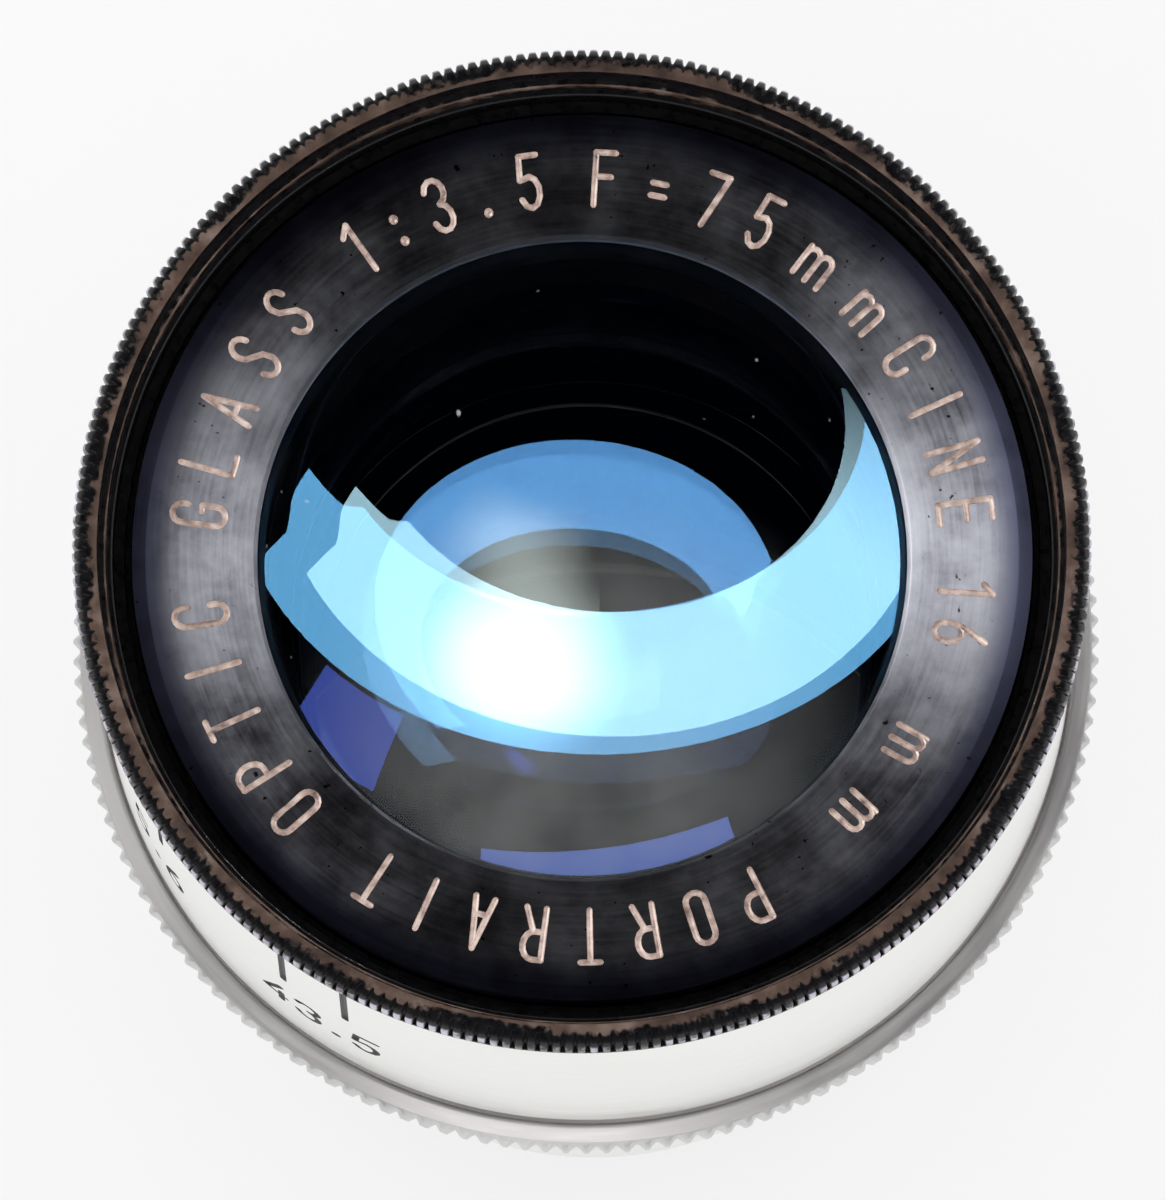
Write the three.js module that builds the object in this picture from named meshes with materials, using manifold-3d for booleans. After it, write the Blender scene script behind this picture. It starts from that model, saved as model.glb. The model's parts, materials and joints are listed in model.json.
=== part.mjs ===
// A 75 mm f/3.5 cine lens of the mid twentieth century, in millimetres.
// +Z runs along the optical axis towards the front, and z = 0 is the rear end of the mount thread.
// Azimuths are in degrees about +Z from +X. It is set to infinity and wide open.
//
// The lens comes apart into these groups:
//   mount     the rear barrel with its screw thread, light baffle and straight guide sleeve
//   focus     the grip ring, with two helical grooves inside it
//   head      the lens barrel with the glass, the iris, the name ring and the aperture scale
//   aperture  the knurled front ring, its two coupling screws and the iris cam ring
//   blades    ten iris leaves, each with a pivot pin and a drive pin
import * as THREE from 'three';
import { mergeVertices } from 'three/addons/utils/BufferGeometryUtils.js';
import Module from 'manifold-3d';

const wasm = await Module();
wasm.setup();

// ---------------------------------------------------------------- driving dimensions

const SIDES = 36;              // sides of the outer turned pieces
const INNER_SIDES = 28;        // sides of the turned pieces inside
const SCREW_SIDES = 10;
const STATIC_GAP = 0.1;        // radial gap between screwed pieces that don't move

// Along the axis
const FRONT = 72;              // front land
const RIM_REAR = 70.7;         // rear edge of the knurled rim
const SCALE_FRONT = 70.1;      // front edge of the aperture scale barrel
const SCALE_REAR = 53.2;       // rear edge of the aperture scale barrel
const FOCUS_FRONT = 53;        // front face of the focusing ring
const GRIP_REAR = 49.4;        // rear edge of the focusing grip
const FOCUS_REAR = 38;         // rear face of the focusing ring
const REAR_BARREL_FRONT = 37.7;
const CONE_FRONT = 30;         // where the rear barrel's cone meets its front band
const CONE_REAR = 24;
const REAR_BARREL_REAR = 7;
const FLANGE = 4;              // flange face, which the camera locates
const NAME_UNDER = 68.9;       // underside of the name ring, on the barrel's end

// Radii
const RIM_R = 17.75;           // knurled front rim
const LAND_OUT_R = 17.3;
const LAND_IN_R = 16.87;
const NECK_R = 17;
const SCALE_FRONT_R = 17.3;
const SCALE_REAR_R = 18.1;
const SCALE_IN_R = 16.75;
const SKIRT_OUT_R = 16.45;     // front ring's skirt, between the scale barrel and the lens barrel
const SKIRT_IN_R = 15.85;
const BARREL_R = 15.6;         // lens barrel round the iris
const CHAMBER_R = 14.95;       // the iris chamber inside it
const TUBE_OUT_R = 14.7;       // lens barrel's sliding tube
const TUBE_IN_R = 13.9;
const GUIDE_OUT_R = 15.9;
const GUIDE_IN_R = 15;
const GRIP_R = 19.25;
const FOCUS_IN_R = 16.2;
const FLANGE_R = 14.2;
const THREAD_R = 12.7;         // one-inch mount thread
const MOUNT_BORE_R = 11;

// Focusing: the head slides out while the ring turns
const FOCUS_TURN = 240;        // degrees
const FOCUS_TRAVEL = 5.2;      // from infinity to 1.2 m
const FOCUS_PIN_Z = 42;
const FOCUS_PIN_R = 0.8;
const FOCUS_PIN_AZIMUTH = 90;

// Iris: the front ring turns 22.3 degrees a stop, from f/3.5 to f/22
const APERTURE_TURN = 118.5;
const BLADE_COUNT = 10;
const BLADE_TURN = 34.4;       // degrees about the pivot while the front ring makes its whole turn
const BLADE_THICKNESS = 0.1;
const BLADE_PITCH = 0.2;       // each leaf lies above the one before
const BLADE_LOWEST = 54.4;
const BLADE_IN_R = 9.5;
const BLADE_OUT_R = 12.9;
const PIVOT_R = 13.6;          // circle of the pivot pins
const DRIVE_R = 14;            // circle of the drive pins, wide open
const DRIVE_AZIMUTH = 28;      // drive pin ahead of the pivot pin
const PIN_R = 0.25;
const PIN_PLAY = 0.08;
const IRIS_BORE_R = 9.3;
const CHAMBER_FLOOR = 53.4;
const PLATE_TOP = 54.2;        // iris base plate
const CAM_REAR = 56.6;         // cam ring's slotted plate
const CAM_FRONT = 57.4;
const CAM_RIM_FRONT = 59.4;
const CAM_R = 14.65;
const COUPLING_Z = 58.5;
const COUPLING_AZIMUTHS = [60, 240];
const COUPLING_SHANK_R = 0.5;
const COUPLING_HEAD_R = 0.9;

// Small pins and screws
const STOP_PIN_R = 0.35;
const STOP_CIRCLE_R = 16.6;
const STOP_AZIMUTH = 90;
const LOCK_SCREW_R = 0.8;
const LOCK_SCREW_Z = 54.9;
const LOCK_SCREW_AZIMUTH = 90;

// Glass, a four-element anastigmat: vertex heights and surface radii
const FRONT_ELEMENT = { r: 12.25, top: 70.3, bottom: 65.3, frontRadius: 45, rearRadius: 47 };
const MIDDLE_ELEMENT = { r: 10.4, clear: 9.9, top: 62.35, bottom: 60.2, frontRadius: 40, rearRadius: 35 };
const REAR_INNER = { r: 10.2, top: 52.2, bottom: 50.7, frontRadius: 170, rearRadius: 21 };
const REAR_OUTER = { r: 10.2, top: 50.65, bottom: 45.5, frontRadius: 21, rearRadius: 33 };

// ---------------------------------------------------------------- materials

function finish(color, roughness, metalness) {
  return new THREE.MeshStandardMaterial({ color, roughness, metalness });
}

const blackEnamel = finish(0x2a2422, 0.45, 0.4);
const nameBlack = finish(0x1a1b22, 0.35, 0.5);
const satinSilver = finish(0xd8d9da, 0.35, 0.9);
const satinGrip = finish(0xa9a9ab, 0.4, 0.9);
const blackPaint = finish(0x18181a, 0.5, 0.3);
const blackBrass = finish(0x101011, 0.7, 0.2);
const bareBrass = finish(0xb08d4a, 0.35, 0.9);
const steel = finish(0x9a9ca0, 0.3, 1);
const bladeSteel = finish(0x1d1e20, 0.4, 0.8);
const coatedGlass = new THREE.MeshStandardMaterial({
  color: 0x9fc4e8, roughness: 0.05, metalness: 0, transparent: true, opacity: 0.4,
});

// ---------------------------------------------------------------- shape helpers

const radians = THREE.MathUtils.degToRad;

// A turned piece from an outline of [radius, height] points, anticlockwise with radius to the right.
function turned(outline, sides, closed = true) {
  const points = outline.map(([radius, height]) => new THREE.Vector2(radius, height));
  if (closed) points.push(points[0].clone());
  return new THREE.LatheGeometry(points, sides).rotateX(Math.PI / 2);
}

// A plain ring with square corners.
function ring(innerR, outerR, bottom, top, sides) {
  const outline = [[innerR, bottom], [outerR, bottom], [outerR, top], [innerR, top]];
  return turned(outline, sides);
}

// Points along a spherical surface from the axis to radius r. The surface bows towards the front
// when bow is 1, and towards the rear when bow is -1.
function surface(vertex, surfaceRadius, r, bow, steps) {
  const points = [];
  for (let i = 0; i <= steps; i += 1) {
    const x = (r * i) / steps;
    const sag = surfaceRadius - Math.sqrt(surfaceRadius ** 2 - x ** 2);
    points.push([x, vertex - bow * sag]);
  }
  return points;
}

// A lens element from its rear surface and its front surface, each from the axis outwards.
function element(rear, front) {
  return turned([...rear, ...front.slice().reverse()], INNER_SIDES, false);
}

// A curved block between two radii, two azimuths and two heights.
function sector(innerR, outerR, from, to, bottom, top) {
  const shape = new THREE.Shape();
  shape.absarc(0, 0, outerR, radians(from), radians(to), false);
  shape.absarc(0, 0, innerR, radians(to), radians(from), true);
  const curveSegments = Math.max(2, Math.ceil((to - from) / 9));
  const settings = { depth: top - bottom, bevelEnabled: false, curveSegments };
  const geometry = new THREE.ExtrudeGeometry(shape, settings);
  return geometry.translate(0, 0, bottom);
}

// A block that falls or climbs as it goes round, for cutting a helical groove.
function helicalBlock(innerR, outerR, width, from, to, firstHeight, lastHeight) {
  const steps = Math.ceil((to - from) / 12);
  const positions = [];
  const index = [];
  for (let i = 0; i <= steps; i += 1) {
    const azimuth = radians(from + ((to - from) * i) / steps);
    const middle = firstHeight + ((lastHeight - firstHeight) * i) / steps;
    const corners = [[innerR, -width / 2], [outerR, -width / 2], [outerR, width / 2], [innerR, width / 2]];
    for (const [r, offset] of corners) {
      positions.push(r * Math.cos(azimuth), r * Math.sin(azimuth), middle + offset);
    }
    if (i === steps) break;
    for (let side = 0; side < 4; side += 1) {
      const a = 4 * i + side;
      const b = 4 * i + ((side + 1) % 4);
      index.push(a, a + 4, b, b, a + 4, b + 4);
    }
  }
  const last = 4 * steps;
  index.push(0, 1, 2, 0, 2, 3);
  index.push(last, last + 2, last + 1, last, last + 3, last + 2);
  const geometry = new THREE.BufferGeometry();
  geometry.setAttribute('position', new THREE.Float32BufferAttribute(positions, 3));
  geometry.setIndex(index);
  return geometry;
}

// A cylinder standing along the axis.
function standingPin(radius, x, y, bottom, top, sides = SCREW_SIDES) {
  const pin = new THREE.CylinderGeometry(radius, radius, top - bottom, sides);
  return pin.rotateX(Math.PI / 2).translate(x, y, (bottom + top) / 2);
}

// A cylinder pointing outwards from radius innerR to outerR.
function radialPin(radius, innerR, outerR, azimuth, height) {
  const pin = new THREE.CylinderGeometry(radius, radius, outerR - innerR, SCREW_SIDES);
  return pin.rotateZ(-Math.PI / 2).translate((innerR + outerR) / 2, 0, height).rotateZ(radians(azimuth));
}

function solid(geometry) {
  const bare = geometry.clone();
  bare.deleteAttribute('normal');
  bare.deleteAttribute('uv');
  const merged = mergeVertices(bare, 1e-4);
  return new wasm.Manifold(new wasm.Mesh({
    numProp: 3,
    vertProperties: new Float32Array(merged.attributes.position.array),
    triVerts: new Uint32Array(merged.index.array),
  }));
}

function geometryOf(manifold) {
  const mesh = manifold.getMesh();
  const geometry = new THREE.BufferGeometry();
  geometry.setAttribute('position', new THREE.Float32BufferAttribute(mesh.vertProperties, 3));
  geometry.setIndex(new THREE.Uint32BufferAttribute(mesh.triVerts, 1));
  geometry.computeVertexNormals();
  return geometry;
}

function cut(geometry, ...tools) {
  return geometryOf(tools.reduce((body, tool) => body.subtract(solid(tool)), solid(geometry)));
}

function join(geometry, ...others) {
  return geometryOf(others.reduce((body, other) => body.add(solid(other)), solid(geometry)));
}

// ---------------------------------------------------------------- mount

// The thread ring. Behind the flange face a groove lets the tap run out, and it's cut into the flange
// far enough for a flat plate to lie on the face round the thread.
function mountRing() {
  const grooveR = THREAD_R - 0.6;
  const grooveFront = FLANGE + 0.3;
  const faceInR = THREAD_R + 0.1;
  return turned([
    [MOUNT_BORE_R, 0], [THREAD_R - 0.4, 0], [THREAD_R, 0.4], [THREAD_R, FLANGE - 0.7],
    [grooveR, FLANGE - 0.5], [grooveR, grooveFront], [faceInR, grooveFront], [faceInR, FLANGE],
    [FLANGE_R, FLANGE], [FLANGE_R, REAR_BARREL_REAR], [MOUNT_BORE_R, REAR_BARREL_REAR],
  ], SIDES);
}

function rearBarrel() {
  const boreR = 13.4;
  return turned([
    [12.6, REAR_BARREL_REAR], [14.2, REAR_BARREL_REAR], [14.7, REAR_BARREL_REAR + 0.5],
    [14.9, CONE_REAR], [16.9, CONE_FRONT - 1], [17, REAR_BARREL_FRONT - 0.3],
    [16.8, REAR_BARREL_FRONT], [GUIDE_OUT_R + STATIC_GAP, REAR_BARREL_FRONT],
    [GUIDE_OUT_R + STATIC_GAP, CONE_FRONT], [boreR, CONE_FRONT],
    [boreR, REAR_BARREL_REAR + 3], [12.6, REAR_BARREL_REAR + 3],
  ], SIDES);
}

// A stepped ring that keeps stray light off the film.
function rearBaffle() {
  const bottom = REAR_BARREL_REAR + 3;
  return turned([
    [9, bottom + 3.2], [10.4, bottom], [13.2, bottom], [13.2, bottom + 1.6], [10.6, bottom + 1.6],
    [9.4, bottom + 3.8], [9, bottom + 3.8],
  ], INNER_SIDES);
}

// The straight sleeve that the lens barrel slides in, with a slot for each focusing pin.
function guideSleeve() {
  const slotHalf = FOCUS_PIN_R + 0.25;
  const halfAngle = THREE.MathUtils.radToDeg(slotHalf / GUIDE_IN_R);
  const slots = [0, 180].map((turn) => {
    const middle = FOCUS_PIN_AZIMUTH + turn;
    const bottom = FOCUS_PIN_Z - FOCUS_PIN_R - 0.3;
    const top = FOCUS_PIN_Z + FOCUS_TRAVEL + FOCUS_PIN_R + 0.3;
    return sector(GUIDE_IN_R - 1, GUIDE_OUT_R + 1, middle - halfAngle, middle + halfAngle, bottom, top);
  });
  return cut(ring(GUIDE_IN_R, GUIDE_OUT_R, CONE_FRONT, FOCUS_FRONT - 0.5, INNER_SIDES), ...slots);
}

// Screwed on the guide sleeve's end, it keeps the focusing ring from coming off forwards.
function focusRetainingRing() {
  return ring(GUIDE_OUT_R + STATIC_GAP, 17.2, FOCUS_FRONT - 1.8, FOCUS_FRONT - 0.6, SIDES);
}

function focusStopPin() {
  const x = STOP_CIRCLE_R * Math.cos(radians(STOP_AZIMUTH));
  const y = STOP_CIRCLE_R * Math.sin(radians(STOP_AZIMUTH));
  return standingPin(STOP_PIN_R, x, y, REAR_BARREL_FRONT, FOCUS_REAR + 1.1);
}

// ---------------------------------------------------------------- focus

// The grip has a flat dark shoulder in front. Inside are a helical groove for each pin, a recess for
// the retaining ring, and a rebate at the rear that the stop pin runs in.
function focusRing() {
  const body = turned([
    [FOCUS_IN_R, FOCUS_REAR], [17.3, FOCUS_REAR], [17.6, FOCUS_REAR + 0.3], [18.1, GRIP_REAR - 1],
    [18.1, GRIP_REAR - 0.2], [GRIP_R - 0.3, GRIP_REAR - 0.2], [GRIP_R, GRIP_REAR],
    [GRIP_R, FOCUS_FRONT - 0.35], [18.25, FOCUS_FRONT], [17.5, FOCUS_FRONT],
    [17.5, FOCUS_FRONT - 2], [FOCUS_IN_R, FOCUS_FRONT - 2],
  ], SIDES);
  const over = 4;
  const rise = (FOCUS_TRAVEL / FOCUS_TURN) * over;
  const grooves = [0, 180].map((turn) => {
    const nearEnd = FOCUS_PIN_AZIMUTH + turn - FOCUS_TURN - over;
    const farEnd = FOCUS_PIN_AZIMUTH + turn + over;
    return helicalBlock(15.4, 17.05, 2 * (FOCUS_PIN_R + 0.25), nearEnd, farEnd,
      FOCUS_PIN_Z + FOCUS_TRAVEL + rise, FOCUS_PIN_Z - rise);
  });
  const rebate = sector(15.4, 17.1, STOP_AZIMUTH - 4 - FOCUS_TURN, STOP_AZIMUTH + 4, FOCUS_REAR - 1,
    FOCUS_REAR + 1.5);
  return cut(body, ...grooves, rebate);
}

// ---------------------------------------------------------------- head

function lensBarrel() {
  const body = turned([
    [TUBE_IN_R, 31], [TUBE_OUT_R, 31], [TUBE_OUT_R, FOCUS_FRONT], [BARREL_R, FOCUS_FRONT],
    [BARREL_R, NAME_UNDER], [CHAMBER_R, NAME_UNDER], [CHAMBER_R, CHAMBER_FLOOR],
    [11.6, CHAMBER_FLOOR], [11.6, 51.4], [TUBE_IN_R, 51.4],
  ], SIDES);
  const slots = COUPLING_AZIMUTHS.map((azimuth) => sector(CHAMBER_R - 1, BARREL_R + 1,
    azimuth - APERTURE_TURN - 3, azimuth + 3, COUPLING_Z - 0.8, COUPLING_Z + 0.8));
  const pinHoles = [0, 180].map((turn) => radialPin(FOCUS_PIN_R + STATIC_GAP, TUBE_IN_R - 1,
    TUBE_OUT_R + 1, FOCUS_PIN_AZIMUTH + turn, FOCUS_PIN_Z));
  return cut(body, ...slots, ...pinHoles);
}

function scaleBarrel() {
  const webTop = 56.6;
  const body = turned([
    [BARREL_R + STATIC_GAP, SCALE_REAR], [SCALE_REAR_R - 0.2, SCALE_REAR], [SCALE_REAR_R, SCALE_REAR + 0.2],
    [SCALE_FRONT_R, SCALE_FRONT], [SCALE_IN_R, SCALE_FRONT], [SCALE_IN_R, webTop],
    [BARREL_R + STATIC_GAP, webTop],
  ], SIDES);
  return cut(body, radialPin(LOCK_SCREW_R + STATIC_GAP, 14, 19, LOCK_SCREW_AZIMUTH, LOCK_SCREW_Z));
}

function lockScrew() {
  return radialPin(LOCK_SCREW_R, BARREL_R + 0.15, 17.8, LOCK_SCREW_AZIMUTH, LOCK_SCREW_Z);
}

// A focusing pin: through the guide sleeve's straight slot and into the ring's helical groove.
function focusPin(turn) {
  return radialPin(FOCUS_PIN_R, TUBE_IN_R, 16.8, FOCUS_PIN_AZIMUTH + turn, FOCUS_PIN_Z);
}

function nameRing() {
  return turned([
    [11.43, NAME_UNDER], [15.8, NAME_UNDER], [15.8, 70.1], [12.15, 69.6], [11.95, 69.5], [11.43, 69.5],
  ], SIDES);
}

// Screwed into the barrel from the front, it seats the front element and the middle element.
function frontCell() {
  return turned([
    [10.5, 58], [12, 58], [12, 60.4], [CHAMBER_R - STATIC_GAP, 60.4], [CHAMBER_R - STATIC_GAP, NAME_UNDER],
    [12.35, NAME_UNDER], [12.35, 66.55], [10.9, 66.55], [10.9, 65], [9.9, 63.8], [10.5, 63.8],
  ], INNER_SIDES);
}

function frontElement() {
  const { r, top, bottom, frontRadius, rearRadius } = FRONT_ELEMENT;
  return element(surface(bottom, rearRadius, r, -1, 4), surface(top, frontRadius, r, 1, 5));
}

function middleElement() {
  const { r, clear, top, bottom, frontRadius, rearRadius } = MIDDLE_ELEMENT;
  const rear = surface(bottom, rearRadius, clear, 1, 4);
  const edge = rear[rear.length - 1][1];
  return element([...rear, [r, edge]], surface(top, frontRadius, r, -1, 4));
}

function rearInnerElement() {
  const { r, top, bottom, frontRadius, rearRadius } = REAR_INNER;
  return element(surface(bottom, rearRadius, r, 1, 5), surface(top, frontRadius, r, -1, 2));
}

function rearOuterElement() {
  const { r, top, bottom, frontRadius, rearRadius } = REAR_OUTER;
  return element(surface(bottom, rearRadius, r, -1, 4), surface(top, frontRadius, r, 1, 5));
}

function rearCell() {
  return turned([
    [10.3, 45], [11.5, 45], [11.5, 49.9], [12.8, 49.9], [12.8, 51.4], [11.5, 51.4], [11.5, 53],
    [9.6, 53], [9.6, 52.55], [10.3, 52.55],
  ], INNER_SIDES);
}

// ---------------------------------------------------------------- iris

// Where a drive pin is when the front ring has made the given part of its turn, measured in the head.
function drivePinAt(part) {
  const turn = radians(BLADE_TURN * part);
  const x = DRIVE_R * Math.cos(radians(DRIVE_AZIMUTH)) - PIVOT_R;
  const y = DRIVE_R * Math.sin(radians(DRIVE_AZIMUTH));
  return new THREE.Vector2(
    PIVOT_R + x * Math.cos(turn) - y * Math.sin(turn),
    x * Math.sin(turn) + y * Math.cos(turn),
  );
}

// The fixed plate that the pivot pins stand in.
function irisBasePlate() {
  const holes = [];
  for (let i = 0; i < BLADE_COUNT; i += 1) {
    const azimuth = radians((360 * i) / BLADE_COUNT);
    holes.push(standingPin(PIN_R + PIN_PLAY, PIVOT_R * Math.cos(azimuth), PIVOT_R * Math.sin(azimuth),
      CHAMBER_FLOOR - 1, PLATE_TOP + 1, 8));
  }
  return cut(ring(IRIS_BORE_R, CHAMBER_R - STATIC_GAP, CHAMBER_FLOOR, PLATE_TOP, SIDES), ...holes);
}

// A spiral slot. Its middle line is a drive pin's path as the cam ring sees it, so the leaf turns in
// step with the ring.
function camSlot(azimuth) {
  const steps = 11;
  const over = 0.015;
  const half = PIN_R + PIN_PLAY;
  const left = [];
  const right = [];
  const at = (part) => drivePinAt(part).rotateAround(new THREE.Vector2(), radians(APERTURE_TURN * part));
  for (let i = 0; i <= steps; i += 1) {
    const part = -over + ((1 + 2 * over) * i) / steps;
    const middle = at(part);
    const along = at(part + 0.001).sub(at(part - 0.001)).normalize();
    left.push(new THREE.Vector2(middle.x - along.y * half, middle.y + along.x * half));
    right.push(new THREE.Vector2(middle.x + along.y * half, middle.y - along.x * half));
  }
  const shape = new THREE.Shape([...right, ...left.reverse()]);
  const slot = new THREE.ExtrudeGeometry(shape, { depth: CAM_FRONT - CAM_REAR + 1, bevelEnabled: false });
  return slot.translate(0, 0, CAM_REAR - 1).rotateZ(radians(azimuth));
}

// The rotating plate that drives the leaves, with a rim that the coupling screws hold.
function irisCamRing() {
  const slots = [];
  for (let i = 0; i < BLADE_COUNT; i += 1) slots.push(camSlot((360 * i) / BLADE_COUNT));
  const body = turned([
    [IRIS_BORE_R, CAM_REAR], [CAM_R, CAM_REAR], [CAM_R, CAM_RIM_FRONT], [13, CAM_RIM_FRONT],
    [13, CAM_FRONT], [IRIS_BORE_R, CAM_FRONT],
  ], SIDES);
  const holes = COUPLING_AZIMUTHS.map((azimuth) => radialPin(COUPLING_SHANK_R + STATIC_GAP, 12, 16,
    azimuth, COUPLING_Z));
  return cut(body, ...slots, ...holes);
}

function irisRetainingRing() {
  return ring(13, CHAMBER_R - STATIC_GAP, 59.6, 60.4, INNER_SIDES);
}

// A crescent leaf with a tab for each pin. Its tail is cut back where the next leaf's drive pin passes.
function irisBlade(order) {
  const bottom = BLADE_LOWEST + order * BLADE_PITCH;
  const tip = radians(95);
  const tail = radians(12);
  const shape = new THREE.Shape();
  shape.moveTo(BLADE_IN_R * Math.cos(tail), BLADE_IN_R * Math.sin(tail));
  shape.lineTo(PIVOT_R - 0.3, -0.55);
  shape.lineTo(PIVOT_R, 0);
  shape.absarc(0, 0, BLADE_OUT_R, radians(4), tip, false);
  shape.absarc(0, 0, BLADE_IN_R, tip, tail, true);
  const flat = { depth: BLADE_THICKNESS, bevelEnabled: false, curveSegments: 7 };
  const leaf = new THREE.ExtrudeGeometry(shape, flat).translate(0, 0, bottom);
  const drive = drivePinAt(0);
  const top = bottom + BLADE_THICKNESS;
  const pivotTab = standingPin(0.6, PIVOT_R, 0, bottom, top, 8);
  const driveTab = standingPin(0.55, drive.x, drive.y, bottom, top, 8);
  const driveNeck = new THREE.BoxGeometry(2, 0.9, BLADE_THICKNESS);
  driveNeck.translate(DRIVE_R - 1, 0, bottom + BLADE_THICKNESS / 2).rotateZ(radians(DRIVE_AZIMUTH));
  const pivotPin = standingPin(PIN_R, PIVOT_R, 0, CHAMBER_FLOOR + 0.1, bottom + BLADE_THICKNESS / 2, 6);
  const drivePin = standingPin(PIN_R, drive.x, drive.y, bottom + BLADE_THICKNESS / 2, CAM_FRONT - 0.2, 6);
  const blade = join(leaf, pivotTab, driveTab, driveNeck, pivotPin, drivePin);
  return blade.rotateZ(radians((360 * order) / BLADE_COUNT));
}

// ---------------------------------------------------------------- aperture

// The knurled rim with its land, the well in front of the name ring, and the skirt behind.
function apertureRing() {
  const body = turned([
    [SKIRT_IN_R, 57.2], [SKIRT_OUT_R, 57.2], [SKIRT_OUT_R, SCALE_FRONT + 0.15],
    [NECK_R, SCALE_FRONT + 0.15], [NECK_R, RIM_REAR], [RIM_R - 0.2, RIM_REAR], [RIM_R, RIM_REAR + 0.2],
    [RIM_R, FRONT - 0.8], [RIM_R - 0.15, FRONT - 0.3], [LAND_OUT_R, FRONT], [LAND_IN_R, FRONT],
    [16.1, 70.6], [16.1, NAME_UNDER - 0.2], [SKIRT_IN_R, NAME_UNDER - 0.2],
  ], SIDES);
  const holes = COUPLING_AZIMUTHS.map((azimuth) => radialPin(COUPLING_HEAD_R + STATIC_GAP, 15, 17.2,
    azimuth, COUPLING_Z));
  return cut(body, ...holes);
}

// From the skirt through the barrel's long slot into the cam ring's rim.
function couplingScrew(azimuth) {
  const shank = radialPin(COUPLING_SHANK_R, 13.4, 16.1, azimuth, COUPLING_Z);
  const head = radialPin(COUPLING_HEAD_R, 15.95, 16.4, azimuth, COUPLING_Z);
  return join(shank, head);
}

// ---------------------------------------------------------------- assembly

const group = new THREE.Group();

function add(name, geometry, material) {
  const mesh = new THREE.Mesh(geometry, material);
  mesh.name = name;
  group.add(mesh);
}

add('mount_ring', mountRing(), satinSilver);
add('rear_barrel', rearBarrel(), blackPaint);
add('rear_baffle', rearBaffle(), blackBrass);
add('guide_sleeve', guideSleeve(), bareBrass);
add('focus_retaining_ring', focusRetainingRing(), blackBrass);
add('focus_stop_pin', focusStopPin(), steel);

add('focus_ring', focusRing(), satinGrip);

add('lens_barrel', lensBarrel(), blackBrass);
add('scale_barrel', scaleBarrel(), satinSilver);
add('scale_lock_screw', lockScrew(), steel);
add('focus_pin_upper', focusPin(0), steel);
add('focus_pin_lower', focusPin(180), steel);
add('name_ring', nameRing(), nameBlack);
add('front_cell', frontCell(), blackBrass);
add('front_element', frontElement(), coatedGlass);
add('middle_element', middleElement(), coatedGlass);
add('middle_retaining_ring', ring(9.7, 10.4, 58, 58.7, INNER_SIDES), blackBrass);
add('iris_base_plate', irisBasePlate(), blackBrass);
add('iris_retaining_ring', irisRetainingRing(), blackBrass);
add('rear_cell', rearCell(), blackBrass);
add('rear_inner_element', rearInnerElement(), coatedGlass);
add('rear_outer_element', rearOuterElement(), coatedGlass);
add('rear_retaining_ring', ring(9.3, 10.2, 45.6, 46.75, INNER_SIDES), blackBrass);

add('aperture_ring', apertureRing(), blackEnamel);
add('coupling_screw_upper', couplingScrew(COUPLING_AZIMUTHS[0]), steel);
add('coupling_screw_lower', couplingScrew(COUPLING_AZIMUTHS[1]), steel);
add('iris_cam_ring', irisCamRing(), bareBrass);

for (let order = 0; order < BLADE_COUNT; order += 1) {
  add(`iris_blade_${String(order + 1).padStart(2, '0')}`, irisBlade(order), bladeSteel);
}

export default group;
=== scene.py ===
import json
import math
from math import cos, pi, radians, sin

import bmesh
import bpy
import numpy as np
from mathutils import Matrix, Vector

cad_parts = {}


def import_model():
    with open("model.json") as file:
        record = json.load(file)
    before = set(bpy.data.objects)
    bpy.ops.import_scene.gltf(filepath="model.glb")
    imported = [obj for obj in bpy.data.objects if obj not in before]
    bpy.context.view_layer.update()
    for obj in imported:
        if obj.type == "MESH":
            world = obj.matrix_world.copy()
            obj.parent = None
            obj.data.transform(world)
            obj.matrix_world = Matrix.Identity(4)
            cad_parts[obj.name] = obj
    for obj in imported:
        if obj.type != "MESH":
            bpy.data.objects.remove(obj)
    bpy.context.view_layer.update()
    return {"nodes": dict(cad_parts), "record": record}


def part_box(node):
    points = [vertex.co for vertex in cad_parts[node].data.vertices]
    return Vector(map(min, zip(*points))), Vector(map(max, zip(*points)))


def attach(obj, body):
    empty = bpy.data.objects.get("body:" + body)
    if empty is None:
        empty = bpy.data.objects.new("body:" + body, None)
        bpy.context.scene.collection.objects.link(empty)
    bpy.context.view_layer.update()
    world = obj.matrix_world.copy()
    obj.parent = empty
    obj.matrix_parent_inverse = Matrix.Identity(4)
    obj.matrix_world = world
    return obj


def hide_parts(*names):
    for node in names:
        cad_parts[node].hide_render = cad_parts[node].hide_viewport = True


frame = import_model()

MM = 0.001

# ---- heights and radii, from the frame, in mm


def low(node, axis=2):
    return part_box(node)[0][axis] / MM


def high(node, axis=2):
    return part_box(node)[1][axis] / MM


def outer_radius(node):
    return high(node, 0)


FRONT = high("aperture_ring")
RIM_R = outer_radius("aperture_ring")
SKIRT_END = low("aperture_ring")
SCALE_FRONT = high("scale_barrel")
SCALE_REAR = low("scale_barrel")
SCALE_R = outer_radius("scale_barrel")
NAME_TOP = high("name_ring")
NAME_UNDER = low("name_ring")
NAME_R = outer_radius("name_ring")
FOCUS_FRONT = high("focus_ring")
FOCUS_REAR = low("focus_ring")
GRIP_R = outer_radius("focus_ring")
BARREL_FRONT = high("rear_barrel")
BARREL_REAR = low("rear_barrel")
MOUNT_REAR = low("mount_ring")
MOUNT_R = outer_radius("mount_ring")

LAND_IN_R = 16.87
RIM_REAR = FRONT - 1.3
WELL_R = 16.1
LIP_R = 11.43
SCALE_FRONT_R = 17.3
GRIP_REAR = FOCUS_FRONT - 3.6
FLANGE = 4.0
THREAD_R = 12.7
THREAD_PITCH = 25.4 / 32

# ---- material helpers


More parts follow.
